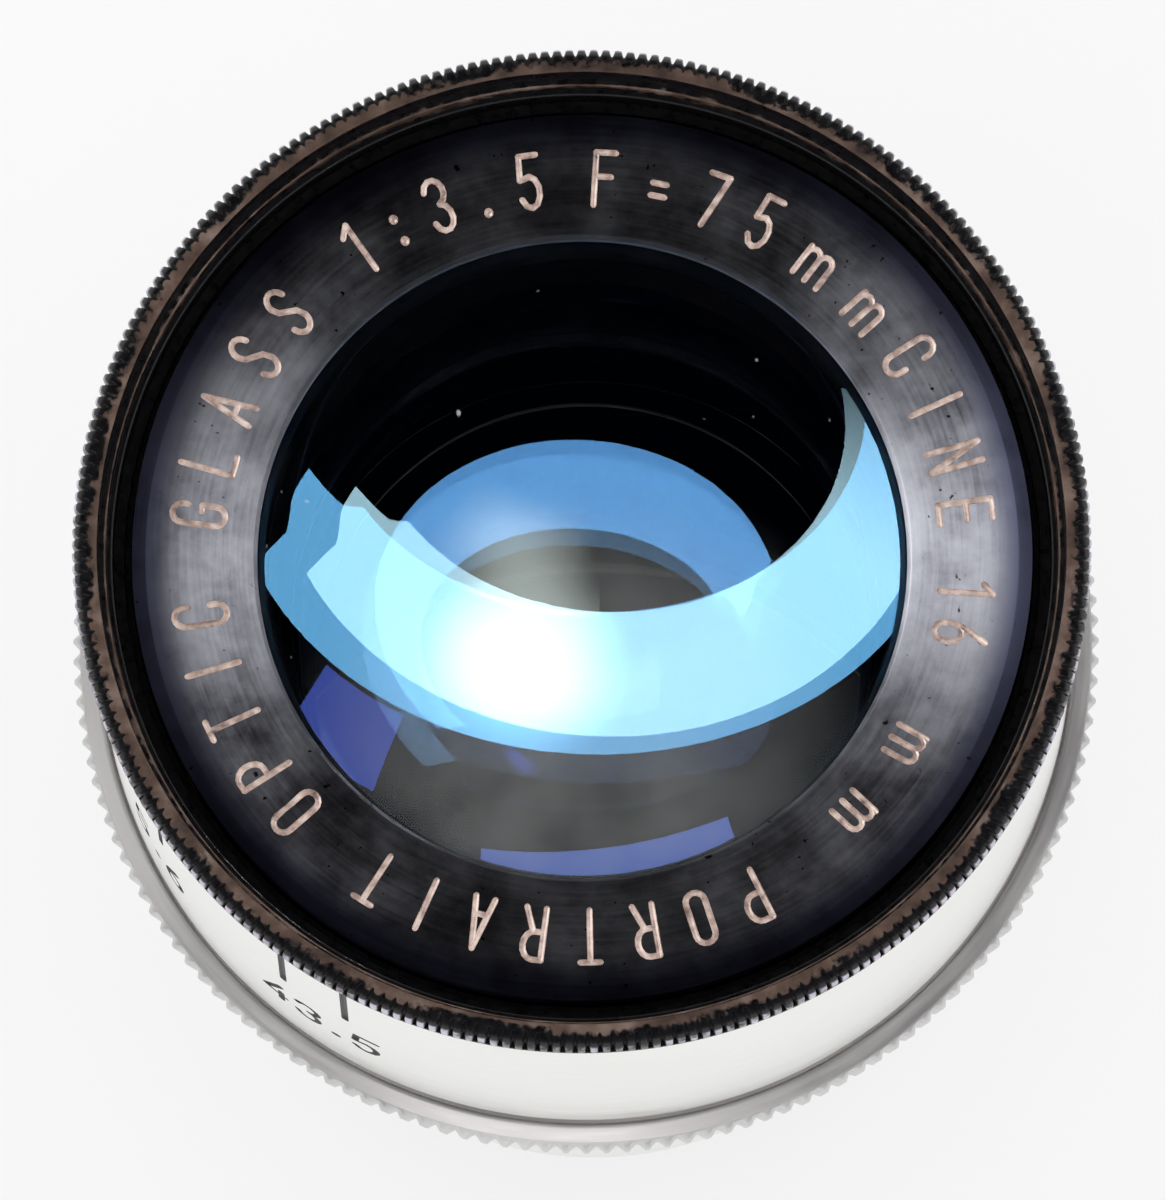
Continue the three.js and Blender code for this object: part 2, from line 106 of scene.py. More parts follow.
def new_material(name, **values):
    """A material, its node tree and its shader. An underscore in a value's name stands for a space in
    the name of the shader's input."""
    material = bpy.data.materials.new(name)
    material.use_nodes = True
    bsdf = material.node_tree.nodes["Principled BSDF"]
    for key, value in values.items():
        bsdf.inputs[key.replace("_", " ")].default_value = value
    return material, material.node_tree, bsdf


def node(tree, kind, **settings):
    """A new node. Each setting is the value of one of its inputs, or else one of its properties."""
    made = tree.nodes.new(kind)
    for key, value in settings.items():
        if key in made.inputs.keys():
            made.inputs[key].default_value = value
        else:
            setattr(made, key, value)
    return made


def join(output, socket):
    output.id_data.links.new(output, socket)


def place(tree):
    """The point on the object, in metres, which moves with its body."""
    return node(tree, "ShaderNodeTexCoord").outputs["Object"]


def noise(vector, scale, detail=4.0, roughness=0.55):
    made = node(vector.id_data, "ShaderNodeTexNoise", Scale=scale, Detail=detail, Roughness=roughness)
    join(vector, made.inputs["Vector"])
    return made.outputs["Fac"]


def ramp(value, *stops):
    """A colour ramp through stops, each a position and a colour."""
    made = node(value.id_data, "ShaderNodeValToRGB")
    elements = made.color_ramp.elements
    while len(elements) < len(stops):
        elements.new(0.5)
    for element, (position, colour) in zip(elements, stops):
        element.position = position
        element.color = (*colour, 1.0)
    join(value, made.inputs["Fac"])
    return made.outputs["Color"]


def steps(value, start, end):
    """0 up to the start and 1 from the end on, and smooth between them."""
    made = node(value.id_data, "ShaderNodeMapRange", interpolation_type="SMOOTHSTEP")
    made.inputs["From Min"].default_value = start
    made.inputs["From Max"].default_value = end
    join(value, made.inputs["Value"])
    return made.outputs["Result"]


def maths(operation, first, second=0.0):
    made = node(first.id_data, "ShaderNodeMath", operation=operation)
    join(first, made.inputs[0])
    if isinstance(second, (int, float)):
        made.inputs[1].default_value = second
    else:
        join(second, made.inputs[1])
    return made.outputs["Value"]


def plus(first, second):
    return maths("ADD", first, second)


def times(first, second):
    return maths("MULTIPLY", first, second)


def distance_to(point, centre):
    """How many metres the point is from a centre, which is given in mm."""
    made = node(point.id_data, "ShaderNodeVectorMath", operation="DISTANCE")
    join(point, made.inputs[0])
    made.inputs[1].default_value = Vector(centre) * MM
    return made.outputs["Value"]


def mix_colour(factor, first, second):
    made = node(factor.id_data, "ShaderNodeMix", data_type="RGBA")
    join(factor, made.inputs["Factor"])
    for socket, value in ((made.inputs[6], first), (made.inputs[7], second)):
        if isinstance(value, tuple):
            socket.default_value = (*value, 1.0)
        else:
            join(value, socket)
    return made.outputs[2]


def bump(bsdf, height, strength, distance):
    made = node(bsdf.id_data, "ShaderNodeBump", Strength=strength, Distance=distance)
    join(height, made.inputs["Height"])
    join(made.outputs["Normal"], bsdf.inputs["Normal"])


def round_coordinates(tree):
    """Radius, azimuth and height of the point, for marks that run round the axis."""
    split = node(tree, "ShaderNodeSeparateXYZ")
    join(place(tree), split.inputs["Vector"])
    x, y, z = split.outputs
    return maths("SQRT", plus(times(x, x), times(y, y))), maths("ARCTAN2", y, x), z


def turning_marks(tree, across):
    """Fine marks left by turning: noise that changes fast with radius and height, slowly round the axis."""
    radius, azimuth, z = round_coordinates(tree)
    stretch = 0.0006
    joined = node(tree, "ShaderNodeCombineXYZ")
    join(times(maths("COSINE", azimuth), stretch), joined.inputs["X"])
    join(times(maths("SINE", azimuth), stretch), joined.inputs["Y"])
    join(plus(radius, z), joined.inputs["Z"])
    return noise(joined.outputs["Vector"], across, detail=3.0)


# ---- materials


def worn_enamel():
    """Black enamel, worn through to copper-brown metal where the wear attribute is high. That attribute also
    paints thin copper lines on the collar's rear edge and on the thread crests of the well, which are painted
    highlights. Here and there the crests of the knurl take a light, half-metallic silvery colour: polish, and
    painted highlights standing in for the glints of the crest facets."""
    material, tree, bsdf = new_material("worn_enamel")
    point = place(tree)
    wear = node(tree, "ShaderNodeAttribute", attribute_name="wear").outputs["Fac"]
    crest = node(tree, "ShaderNodeAttribute", attribute_name="crest").outputs["Fac"]
    patches = noise(point, 180, detail=7.0, roughness=0.7)
    grains = noise(point, 2600, detail=3.0)
    # this level carries real wear on the land and also the painted highlight lines set in the aperture ring's
    # outline
    wear_and_highlight_level = plus(wear, times(maths("SUBTRACT", patches, 0.5), 1.5))
    wear_and_highlight_level = plus(wear_and_highlight_level, times(maths("SUBTRACT", grains, 0.5), 0.6))
    bare_and_highlit = steps(wear_and_highlight_level, 0.42, 0.6)
    copper = ramp(noise(point, 800, detail=5.0), (0.3, (0.05, 0.028, 0.020)),
                  (0.52, (0.12, 0.072, 0.052)), (0.72, (0.23, 0.165, 0.135)))
    enamel = ramp(grains, (0.3, (0.0035, 0.0030, 0.0040)), (0.8, (0.012, 0.011, 0.014)))
    # painted highlight: patches of the knurl crests take a light silvery, half-metallic colour, partly polish
    # and partly standing in for the glints of the crest facets
    crest_polish_and_glint_patches = steps(noise(point, 420, detail=5.0, roughness=0.7), 0.38, 0.54)
    polished = times(steps(crest, 0.5, 1.0), crest_polish_and_glint_patches)
    colour = mix_colour(bare_and_highlit, enamel, copper)
    join(mix_colour(polished, colour, (0.55, 0.52, 0.62)), bsdf.inputs["Base Color"])
    join(times(maths("MAXIMUM", times(bare_and_highlit, 0.35), polished), 0.5), bsdf.inputs["Metallic"])
    join(steps(plus(grains, times(bare_and_highlit, 0.3)), -0.5, 2.1), bsdf.inputs["Roughness"])
    bump(bsdf, plus(grains, bare_and_highlit), 0.25, 0.00003)
    return material


def name_black():
    """Blued black metal with circular brushing, soft clouds and dust. Its outer edge is bluer."""
    material, tree, bsdf = new_material(
        "name_black", Metallic=1.0, Anisotropic=0.8, Anisotropic_Rotation=0.25)
    point = place(tree)
    radius = round_coordinates(tree)[0]
    clouds = noise(point, 260, detail=6.0, roughness=0.65)
    tone = plus(times(turning_marks(tree, 7000), 0.2), times(clouds, 0.8))
    brushed = ramp(tone, (0.3, (0.05, 0.05, 0.06)), (0.5, (0.145, 0.147, 0.165)),
                   (0.7, (0.24, 0.245, 0.27)))
    blue = mix_colour(steps(radius, 0.0140, 0.0155), brushed, (0.04, 0.042, 0.07))
    specks = steps(noise(point, 2400, detail=2.0), 0.70, 0.75)
    join(mix_colour(specks, blue, (0.012, 0.011, 0.011)), bsdf.inputs["Base Color"])
    join(steps(tone, -0.5, 1.5), bsdf.inputs["Roughness"])
    tangent = node(tree, "ShaderNodeTangent", direction_type="RADIAL", axis="Z")
    join(tangent.outputs["Tangent"], bsdf.inputs["Tangent"])
    bump(bsdf, tone, 0.2, 0.00002)
    return material


def turned_metal(name, dark, light, roughness, mark_scale, metallic):
    """Turned metal, or paint on it, with fine marks and soft clouds of tone."""
    material, tree, bsdf = new_material(name, Metallic=metallic)
    marks = turning_marks(tree, mark_scale)
    clouds = noise(place(tree), 160, detail=5.0)
    tone = plus(times(marks, 0.6), times(clouds, 0.4))
    join(ramp(tone, (0.3, dark), (0.7, light)), bsdf.inputs["Base Color"])
    join(steps(tone, 0.2 - 1.2 * roughness, 1.8 - roughness), bsdf.inputs["Roughness"])
    bump(bsdf, marks, 0.12, 0.00002)
    return material


def engraved_copper():
    """Bare metal at the bottom of the engraved letters, bright with a little dirt."""
    material, tree, bsdf = new_material("engraved_copper", Metallic=0.1)
    dirt = noise(place(tree), 2400)
    join(ramp(dirt, (0.25, (0.16, 0.10, 0.085)), (0.5, (0.50, 0.37, 0.32)), (0.7, (0.72, 0.60, 0.54))),
         bsdf.inputs["Base Color"])
    join(steps(dirt, -0.6, 1.6), bsdf.inputs["Roughness"])
    bump(bsdf, dirt, 0.3, 0.00003)
    return material


def engraving_paint(name, colour):
    """Paint that fills engraved marks, with a little dirt."""
    material, tree, bsdf = new_material(name)
    dirt = noise(place(tree), 1800, detail=3.0)
    lighter = tuple(min(1.0, 2.2 * c + 0.01) for c in colour)
    join(ramp(dirt, (0.3, colour), (0.75, lighter)), bsdf.inputs["Base Color"])
    join(steps(dirt, -0.8, 1.4), bsdf.inputs["Roughness"])
    return material


def matt_black():
    """Blackened brass inside the lens, ridged by the tool."""
    material, tree, bsdf = new_material("matt_black", Specular_IOR_Level=0.03)
    marks = turning_marks(tree, 4200)
    join(ramp(marks, (0.3, (0.0003, 0.0003, 0.0004)), (0.75, (0.0012, 0.0012, 0.0014))),
         bsdf.inputs["Base Color"])
    join(steps(marks, -0.46, 1.1), bsdf.inputs["Roughness"])
    bump(bsdf, marks, 0.3, 0.00004)
    return material


def coated_glass(name, tint, haze):
    """Polished glass with an anti-reflection coating that tints what it mirrors and, on the front, a thin
    haze below the middle and a few specks of dust."""
    material, tree, bsdf = new_material(
        name, Base_Color=(0.97, 0.985, 1.0, 1.0), Transmission_Weight=1.0, Roughness=0.0, IOR=1.6,
        Specular_Tint=(*tint, 1.0))
    if haze:
        point = place(tree)
        lower = steps(distance_to(point, (0.0, -7.5, FRONT)), 0.0115, 0.004)
        smears = noise(point, 260, detail=6.0, roughness=0.6)
        dust = steps(noise(point, 1500, detail=1.0), 0.77, 0.82)
        film = node(tree, "ShaderNodeBsdfDiffuse", Color=(0.85, 0.88, 0.88, 1.0))
        mixed = node(tree, "ShaderNodeMixShader")
        join(plus(times(lower, times(smears, haze)), times(dust, 0.35)), mixed.inputs["Fac"])
        join(bsdf.outputs["BSDF"], mixed.inputs[1])
        join(film.outputs["BSDF"], mixed.inputs[2])
        join(mixed.outputs["Shader"], tree.nodes["Material Output"].inputs["Surface"])
    return material


METALS = {     # dark and light colour, roughness, fineness of the turning marks, how metallic
    "satin_silver": ((0.88, 0.88, 0.86), (0.97, 0.97, 0.95), 0.42, 6000, 1.0),
    "grip_metal": ((0.72, 0.69, 0.69), (0.95, 0.92, 0.915), 0.35, 5000, 0.8),
    # grip_teeth is a darker, less metallic copy of grip_metal for the teeth of the same ring: painted shade
    # among the teeth
    "grip_teeth": ((0.42, 0.42, 0.42), (0.72, 0.72, 0.71), 0.35, 5000, 0.45),
    "mount_metal": ((0.55, 0.55, 0.56), (0.8, 0.8, 0.8), 0.25, 5000, 1.0),
    "black_paint": ((0.010, 0.010, 0.011), (0.028, 0.028, 0.030), 0.5, 3500, 0.0),
    "brass": ((0.42, 0.29, 0.11), (0.72, 0.55, 0.27), 0.35, 4000, 1.0),
    "steel": ((0.35, 0.35, 0.36), (0.65, 0.65, 0.66), 0.3, 4000, 1.0),
    "blade_steel": ((0.03, 0.032, 0.036), (0.09, 0.092, 0.10), 0.4, 3000, 1.0),
}
GLASSES = {    # the tint that the coating mirrors, and how hazy the surface is
    "coated_glass": ((0.20, 0.62, 1.0), 0.19),
    "glass_blue": ((0.17, 0.50, 1.0), 0.0),
    "glass_teal": ((0.06, 0.16, 0.28), 0.0),
    "glass_pale": ((0.03, 0.05, 0.09), 0.0),
    "glass_violet": ((0.05, 0.08, 0.42), 0.0),
}
MATERIALS = {
    "worn_enamel": worn_enamel(),
    "name_black": name_black(),
    "matt_black": matt_black(),
    "engraved_copper": engraved_copper(),
    "engraved_black": engraving_paint("engraved_black", (0.05, 0.05, 0.055)),
    "engraved_white": engraving_paint("engraved_white", (0.45, 0.44, 0.42)),
}
MATERIALS |= {name: turned_metal(name, *values) for name, values in METALS.items()}
MATERIALS |= {name: coated_glass(name, *values) for name, values in GLASSES.items()}

# ---- shape helpers


def corner(before, point, after, radius, arc_steps=4):
    """Points of a rounded corner, or the corner itself when there's no room for it."""
    plain = [tuple(point[:2])]
    before, point, after = (Vector(p[:2]) for p in (before, point, after))
    a, b = before - point, after - point
    reach = 0.45 * min(a.length, b.length)
    if radius <= 0 or reach < 1e-6:
        return plain
    a.normalize()
    b.normalize()
    half = math.acos(max(-1.0, min(1.0, a.dot(b)))) / 2
    if half > radians(88):
        return plain
    length = min(radius / math.tan(half), reach)
    true_radius = length * math.tan(half)
    centre = point + (a + b).normalized() * (true_radius / sin(half))
    first = point + a * length - centre
    last = point + b * length - centre
    return [tuple(centre + first.lerp(last, i / arc_steps).normalized() * true_radius)
            for i in range(arc_steps + 1)]


def rounded(outline, radius=0.06):
    """Rounds the corners of a closed outline of (radius, height) or (radius, height, rounding) points."""
    points = []
    for i, point in enumerate(outline):
        own = point[2] if len(point) > 2 else radius
        points += corner(outline[i - 1], point, outline[(i + 1) % len(outline)], own)
    return points


def new_mesh(name, vertices, faces, materials):
    mesh = bpy.data.meshes.new(name)
    mesh.from_pydata([tuple(v) for v in vertices], [], faces)
    for material in materials:
        mesh.materials.append(material)
    mesh.update()
    return mesh


def add_object(name, data):
    made = bpy.data.objects.new(name, data)
    bpy.context.scene.collection.objects.link(made)
    return made


def mesh_object(name, vertices, faces, materials):
    made = add_object(name, new_mesh(name, vertices, faces, [MATERIALS[key] for key in materials]))
    smooth(made)
    return made


def smooth(piece):
    piece.data.polygons.foreach_set("use_smooth", [True] * len(piece.data.polygons))
    piece.data.set_sharp_from_angle(angle=radians(32))


def column_faces(columns, count, closed=True):
    """Quads between the columns of a turned shape, each with count points along its outline."""
    faces = []
    for i in range(columns):
        a, b = i * count, (i + 1) % columns * count
        for j in range(count if closed else count - 1):
            k = (j + 1) % count
            faces.append((a + j, b + j, b + k, a + k))
    return faces


def lathe(name, outline, material, columns=256, teeth=None, closed=True, more_materials=()):
    """Turns an outline in mm round the axis. teeth gives each column a depth from 0 to 1, and a point
    (radius, height, cut) moves inwards by its own cut at full depth."""
    points = [p[:2] for p in outline]
    cuts = [p[2] if len(p) > 2 else 0.0 for p in outline]
    if teeth is None:
        azimuths = np.arange(columns) * (2 * pi / columns)
        depths = np.zeros(columns)
    else:
        azimuths, depths = teeth
        columns = len(azimuths)
    count = len(points)
    r = np.array([p[0] for p in points])[None, :] - depths[:, None] * np.array(cuts)
    z = np.broadcast_to([p[1] for p in points], r.shape)
    x = r * np.cos(azimuths)[:, None]
    y = r * np.sin(azimuths)[:, None]
    vertices = np.stack([x, y, z], axis=2).reshape(-1, 3) * MM
    made = mesh_object(name, vertices, column_faces(columns, count, closed), (material, *more_materials))
    if not closed:
        weld(made)
    return made


def weld(piece):
    """Joins the points of a solid of revolution that meet on the axis."""
    edit = bmesh.new()
    edit.from_mesh(piece.data)
    bmesh.ops.remove_doubles(edit, verts=edit.verts, dist=1e-7)
    bmesh.ops.recalc_face_normals(edit, faces=edit.faces)
    edit.to_mesh(piece.data)
    edit.free()


def knurl(count, shape):
    """Columns of a straight knurl: their azimuths and depths. The shape gives one tooth's columns, each
    with its place along the pitch and its depth from 0 to 1."""
    azimuths = [(tooth + offset) * 2 * pi / count for tooth in range(count) for offset, _ in shape]
    depths = [depth for _, depth in shape] * count
    return np.array(azimuths), np.array(depths)


def set_attribute(piece, name, values):
    attribute = piece.data.attributes.new(name, "FLOAT", "POINT")
    attribute.data.foreach_set("value", np.asarray(values, np.float32))


def paint(piece, index, wanted):
    """Gives another of the piece's materials to each face for whose middle wanted(radius, height) is true."""
    for polygon in piece.data.polygons:
        middle = polygon.center / MM
        if wanted(math.hypot(middle.x, middle.y), middle.z):
            polygon.material_index = index


def finish(piece, body, slot, *nodes):
    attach(piece, body)
    if nodes:
        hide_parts(*nodes)
    return piece


# ---- engraving

NARROW = 0.37


def arc(cx, cy, rx, ry, start, end, count=8):
    span = [radians(start + (end - start) * i / count) for i in range(count + 1)]
    return [(cx + rx * cos(a), cy + ry * sin(a)) for a in span]


def glyph_strokes():
    """Single-line letters, one unit tall. Each is its width and its strokes. The sign ~ is infinity."""
    w = NARROW
    h = w / 2
    ring = arc(h, 1 - h, h, h, 0, 180) + arc(h, h, h, h, 180, 360) + [(w, 1 - h)]
    hook = [(w, 0.72)] + arc(h, 1 - h, h, h, 0, 180) + arc(h, h, h, h, 180, 360) + [(w, 0.3)]
    esse = arc(h, 0.77, h, 0.23, 10, 180) + [(0.05, 0.62), (w - 0.05, 0.4)] + arc(h, 0.23, h, 0.23, 0, -170)
    three = arc(h, 0.76, h, 0.24, 165, -80) + arc(h, 0.26, h, 0.26, 80, -165)
    five = [(w, 1), (0.05, 1), (0.02, 0.55)] + arc(h, 0.3, h, 0.3, 120, -155)
    six = [(w - 0.1, 1), (0.06, 0.56)] + arc(h, 0.27, h, 0.27, 160, -200, 14)
    eight = arc(h, 0.75, 0.17, 0.25, -90, 270, 14)
    eight_low = arc(h, 0.26, h, 0.26, 90, 450, 14)
    bowl = [(0, 0), (0, 1), (0.17, 1)] + arc(0.17, 0.73, w - 0.17, 0.27, 90, -90) + [(0, 0.46)]
    two = arc(h, 0.76, h, 0.24, 165, -25) + [(0, 0), (w, 0)]
    infinity = [(0.35 + 0.33 * cos(t) / (1 + sin(t) ** 2),
                 0.4 + 0.7 * sin(t) * cos(t) / (1 + sin(t) ** 2))
                for t in (2 * pi * i / 28 for i in range(29))]
    infinity_parts = [infinity[i:i + 8] for i in (0, 7, 14, 21)]     # so that no part crosses itself
    return {
        "O": (w, [ring]), "0": (w, [ring]), "C": (w, [hook]), "S": (w, [esse]), "3": (w, [three]),
        "G": (w, [hook + [(w, 0.45), (0.25, 0.45)]]), "5": (w, [five]), "6": (w, [six]), "2": (w, [two]),
        "8": (w, [eight, eight_low]), "7": (w, [[(0, 1), (w, 1), (0.12, 0)]]),
        "1": (0.18, [[(0, 0.82), (0.18, 1), (0.18, 0)]]),
        "4": (w, [[(w, 0.3), (0, 0.3), (0.3, 1)], [(0.3, 0.55), (0.3, 0)]]),
        "F": (w, [[(w, 1), (0, 1), (0, 0)], [(0, 0.54), (0.3, 0.54)]]),
        "E": (w, [[(w, 1), (0, 1), (0, 0), (w, 0)], [(0, 0.52), (0.34, 0.52)]]),
        "A": (w, [[(0, 0), (h, 1), (w, 0)], [(0.07, 0.33), (w - 0.07, 0.33)]]),
        "T": (w, [[(0, 1), (w, 1)], [(h, 1), (h, 0)]]), "L": (w, [[(0, 1), (0, 0), (w, 0)]]),
        "I": (0.0, [[(0, 1), (0, 0)]]),
        "P": (w, [bowl]), "R": (w, [bowl, [(0.2, 0.46), (w, 0)]]),
        "N": (w, [[(0, 0), (0, 1), (w, 0), (w, 1)]]),
        "m": (0.56, [[(0, 0), (0, 0.6)], [(0, 0.42)] + arc(0.14, 0.46, 0.14, 0.14, 180, 0, 6) + [(0.28, 0)],
                     [(0.28, 0.42)] + arc(0.42, 0.46, 0.14, 0.14, 180, 0, 6) + [(0.56, 0)]]),
        ".": (0.0, [[(0, 0.07), (0, 0.075)]]), ":": (0.0, [[(0, 0.16), (0, 0.165)], [(0, 0.62), (0, 0.625)]]),
        "=": (0.26, [[(0, 0.3), (0.26, 0.3)], [(0, 0.54), (0.26, 0.54)]]),
        "~": (0.7, infinity_parts),
    }


GLYPHS = glyph_strokes()
DOTS = ".:"


def tube(path, radius, sides=8):
    """A closed round bar along a path of 3-D points in mm, with domed ends, as vertices and faces."""
    points = [Vector(p) for p in path]
    looped = len(points) > 3 and (points[0] - points[-1]).length < 1e-4
    if looped:
        points = points[:-1]
    count = len(points)
    directions = []
    for i, point in enumerate(points):
        before = points[i - 1] if looped or i else point
        after = points[(i + 1) % count] if looped or i < count - 1 else point
        directions.append((after - before).normalized())
    rings = [(p, d, 1.0) for p, d in zip(points, directions)]
    if not looped:
        start, end = rings[0], rings[-1]
        dome = ((0.95, 0.35), (0.6, 0.8))
        head = [(start[0] - start[1] * radius * out, start[1], share) for out, share in dome]
        tail = [(end[0] + end[1] * radius * out, end[1], share) for out, share in dome[::-1]]
        rings = head + rings + tail
    vertices = []
    across = None
    for centre, direction, share in rings:
        if across is None:
            across = direction.orthogonal().normalized()
        across = (across - direction * across.dot(direction)).normalized()
        other = direction.cross(across)
        for side in range(sides):
            angle = 2 * pi * side / sides
            vertices.append(centre + (across * cos(angle) + other * sin(angle)) * radius * share)
    faces = []
    total = len(rings)
    for i in range(total if looped else total - 1):
        a, b = i * sides, ((i + 1) % total) * sides
        for side in range(sides):
            k = (side + 1) % sides
            faces.append((a + side, a + k, b + k, b + side))
    if not looped:
        faces.append(tuple(reversed(range(sides))))
        faces.append(tuple(range((total - 1) * sides, total * sides)))
    return vertices, faces


def resample(path, step):
    """The path with no stretch longer than step, so that it follows a curved surface."""
    points = [path[0]]
    for a, b in zip(path, path[1:]):
        length = math.dist(a, b)
        pieces = max(1, math.ceil(length / step))
        points += [(a[0] + (b[0] - a[0]) * i / pieces, a[1] + (b[1] - a[1]) * i / pieces)
                   for i in range(1, pieces + 1)]
    return points


def split_corners(path):
    """The path as parts without sharp corners, since a bar round a sharp corner would fold on itself."""
    parts = [[path[0]]]
    for before, point, after in zip(path, path[1:], path[2:]):
        parts[-1].append(point)
        turn = (Vector(point) - Vector(before)).angle(Vector(after) - Vector(point), 0.0)
        if turn > radians(50):
            parts.append([point])
    parts[-1].append(path[-1])
    return parts


def engrave(piece, marks, radius, sides=8):
    """Cuts marks into a piece. Each mark is a list of strokes, and each stroke a path of 3-D points in mm
    with its share of the radius. Strokes of one mark may cross, so the first strokes are cut together,
    then the second, and so on."""
    marks = [[(part, scale) for path, scale in strokes for part in split_corners(path)] for strokes in marks]
    for order in range(max(len(strokes) for strokes in marks)):
        vertices = []
        faces = []
        for strokes in marks:
            for path, scale in strokes[order:order + 1]:
                more, more_faces = tube(path, radius * scale, sides)
                faces += [tuple(len(vertices) + i for i in face) for face in more_faces]
                vertices += [v * MM for v in more]
        mesh = new_mesh("cutter", vertices, faces, piece.data.materials)
        mesh.polygons.foreach_set("material_index", [1] * len(mesh.polygons))
        cutter = add_object("cutter", mesh)
        cut = piece.modifiers.new("cut", "BOOLEAN")
        cut.operation = "DIFFERENCE"
        cut.solver = "MANIFOLD"
        cut.object = cutter
        apply_modifiers(piece)
        bpy.data.objects.remove(cutter)
    smooth(piece)
    crisp_marks(piece)
    return piece


def crisp_marks(piece):
    """Keeps the edge of each mark sharp, so that its shading doesn't run out over the surface."""
    edit = bmesh.new()
    edit.from_mesh(piece.data)
    for edge in edit.edges:
        if sum(face.material_index == 1 for face in edge.link_faces) == 1:
            edge.smooth = False
    edit.to_mesh(piece.data)
    edit.free()


def apply_modifiers(piece):
    evaluated = piece.evaluated_get(bpy.context.evaluated_depsgraph_get())
    mesh = bpy.data.meshes.new_from_object(evaluated)
    piece.modifiers.clear()
    old = piece.data
    piece.data = mesh
    bpy.data.meshes.remove(old)


def mark_on(surface, text, centre, height, spacing):
    """Strokes of a text, mapped by surface(across, up) from mm on the flat text to a 3-D point."""
    widths = [GLYPHS[c][0] if c != " " else 0.2 for c in text]
    total = sum(widths) + spacing * (len(text) - 1)
    x = -total / 2
    marks = []
    for letter, width in zip(text, widths):
        if letter != " ":
            strokes = []
            for stroke in GLYPHS[letter][1]:
                flat = [((x + px) * height, py * height) for px, py in stroke]
                path = [surface(centre, across, up) for across, up in resample(flat, 0.45 * height)]
                strokes.append((path, 1.45 if letter in DOTS else 1.0))
            marks.append(strokes)
        x += width + spacing
    return marks


# ---- front ring

RIM_TEETH = 256
BROAD_TOOTH = ((-0.27, 0.08), (-0.12, 0.0), (0.12, 0.0), (0.27, 0.08), (0.42, 0.85), (0.5, 1.0), (0.58, 0.85))


def aperture_ring():
    """The knurled rim: the teeth run out through the front edge, and a plain collar closes them behind.
    Inside the land the wall steps down like a worn filter thread. Each point has a radius, a height, the
    depth of the knurl there and how far the enamel is worn. On the collar's rounded rear edge and on the
    thread crests in the wall, that last value is set high to paint thin bright copper lines, which are
    painted highlights."""
    outline = [
        (15.85, SKIRT_END, 0, 0), (16.4, SKIRT_END, 0, 0), (16.45, SKIRT_END + 0.05, 0, 0),
        (16.45, SCALE_FRONT + 0.1, 0, 0), (16.5, SCALE_FRONT + 0.15, 0, 0),
        (16.9, SCALE_FRONT + 0.15, 0, 0), (16.98, SCALE_FRONT + 0.2, 0, 0),
        (17.0, RIM_REAR - 0.04, 0, 0), (17.05, RIM_REAR, 0, 0),
        # painted highlight: the high wear on the collar's rounded rear edge paints a thin bright line
        (17.62, RIM_REAR, 0, 0.2), (17.69, RIM_REAR + 0.02, 0, 1.3), (17.73, RIM_REAR + 0.07, 0, 1.3),
        (17.7, RIM_REAR + 0.12, 0, 0), (17.6, RIM_REAR + 0.15, 0, 0), (17.6, RIM_REAR + 0.17, 0.1, 0),
        (RIM_R - 0.03, RIM_REAR + 0.2, 0.22, 0), (RIM_R, RIM_REAR + 0.27, 0.25, 0),
        (RIM_R, FRONT - 0.4, 0.25, 0), (RIM_R - 0.05, FRONT - 0.3, 0.25, 0),
        (17.58, FRONT - 0.12, 0.24, 0), (17.44, FRONT - 0.03, 0.23, 0.05), (17.36, FRONT, 0.2, 0.25),
        (17.3, FRONT, 0.12, 0.45), (17.02, FRONT, 0, 0.6),
        (LAND_IN_R + 0.05, FRONT - 0.01, 0, 0.8), (LAND_IN_R, FRONT - 0.06, 0, 0.8),
        (LAND_IN_R - 0.02, FRONT - 0.16, 0, 0.1), (LAND_IN_R - 0.03, FRONT - 1.12, 0, 0.25),
        # painted highlights: the high wear on these thread crests paints thin bright copper lines, over some
        # real wear
        (16.72, FRONT - 1.17, 0, 0.4), (16.68, FRONT - 1.19, 0, 0.8), (16.65, FRONT - 1.23, 0, 0.65),
        (16.64, FRONT - 1.74, 0, 0.3), (16.6, FRONT - 1.77, 0, 0.7), (16.56, FRONT - 1.79, 0, 1.2),
        (16.53, FRONT - 1.84, 0, 1.0), (16.5, FRONT - 2.1, 0, 0.5), (16.48, FRONT - 2.6, 0, 0.3),
        (16.46, FRONT - 2.72, 0, 0), (16.4, FRONT - 2.76, 0, 0), (WELL_R, NAME_UNDER + 0.25, 0, 0),
        (WELL_R, NAME_UNDER - 0.2, 0, 0), (15.9, NAME_UNDER - 0.2, 0, 0), (15.85, NAME_UNDER - 0.25, 0, 0),
    ]
    azimuths, depths = knurl(RIM_TEETH, BROAD_TOOTH)
    made = lathe("aperture_ring_fine", [p[:3] for p in outline], "worn_enamel", teeth=(azimuths, depths))
    set_attribute(made, "wear", np.tile([p[3] for p in outline], (len(azimuths), 1)).reshape(-1))
    on_teeth = np.array([1.0 if p[2] > 0.24 else 0.0 for p in outline])
    set_attribute(made, "crest", ((1 - depths)[:, None] * on_teeth[None, :]).reshape(-1))
    return finish(made, "aperture", "worn_enamel", "aperture_ring")


# ---- name ring

LETTER_FOOT_R = 12.6
LETTER_HEIGHT = 1.85
NAME_TEXT = (   # each text with the azimuths of its first and last letter
    ("GLASS", 174, 140), ("1:3.5", 126, 98), ("F=75", 86.6, 61.7), ("mm", 51.5, 41), ("CINE", 31.5, 6.3),
    ("16", -5.3, -12.3), ("mm", -31, -44), ("PORTRAIT", -64, -121.9), ("OPTIC", -137.4, -170.7),
)


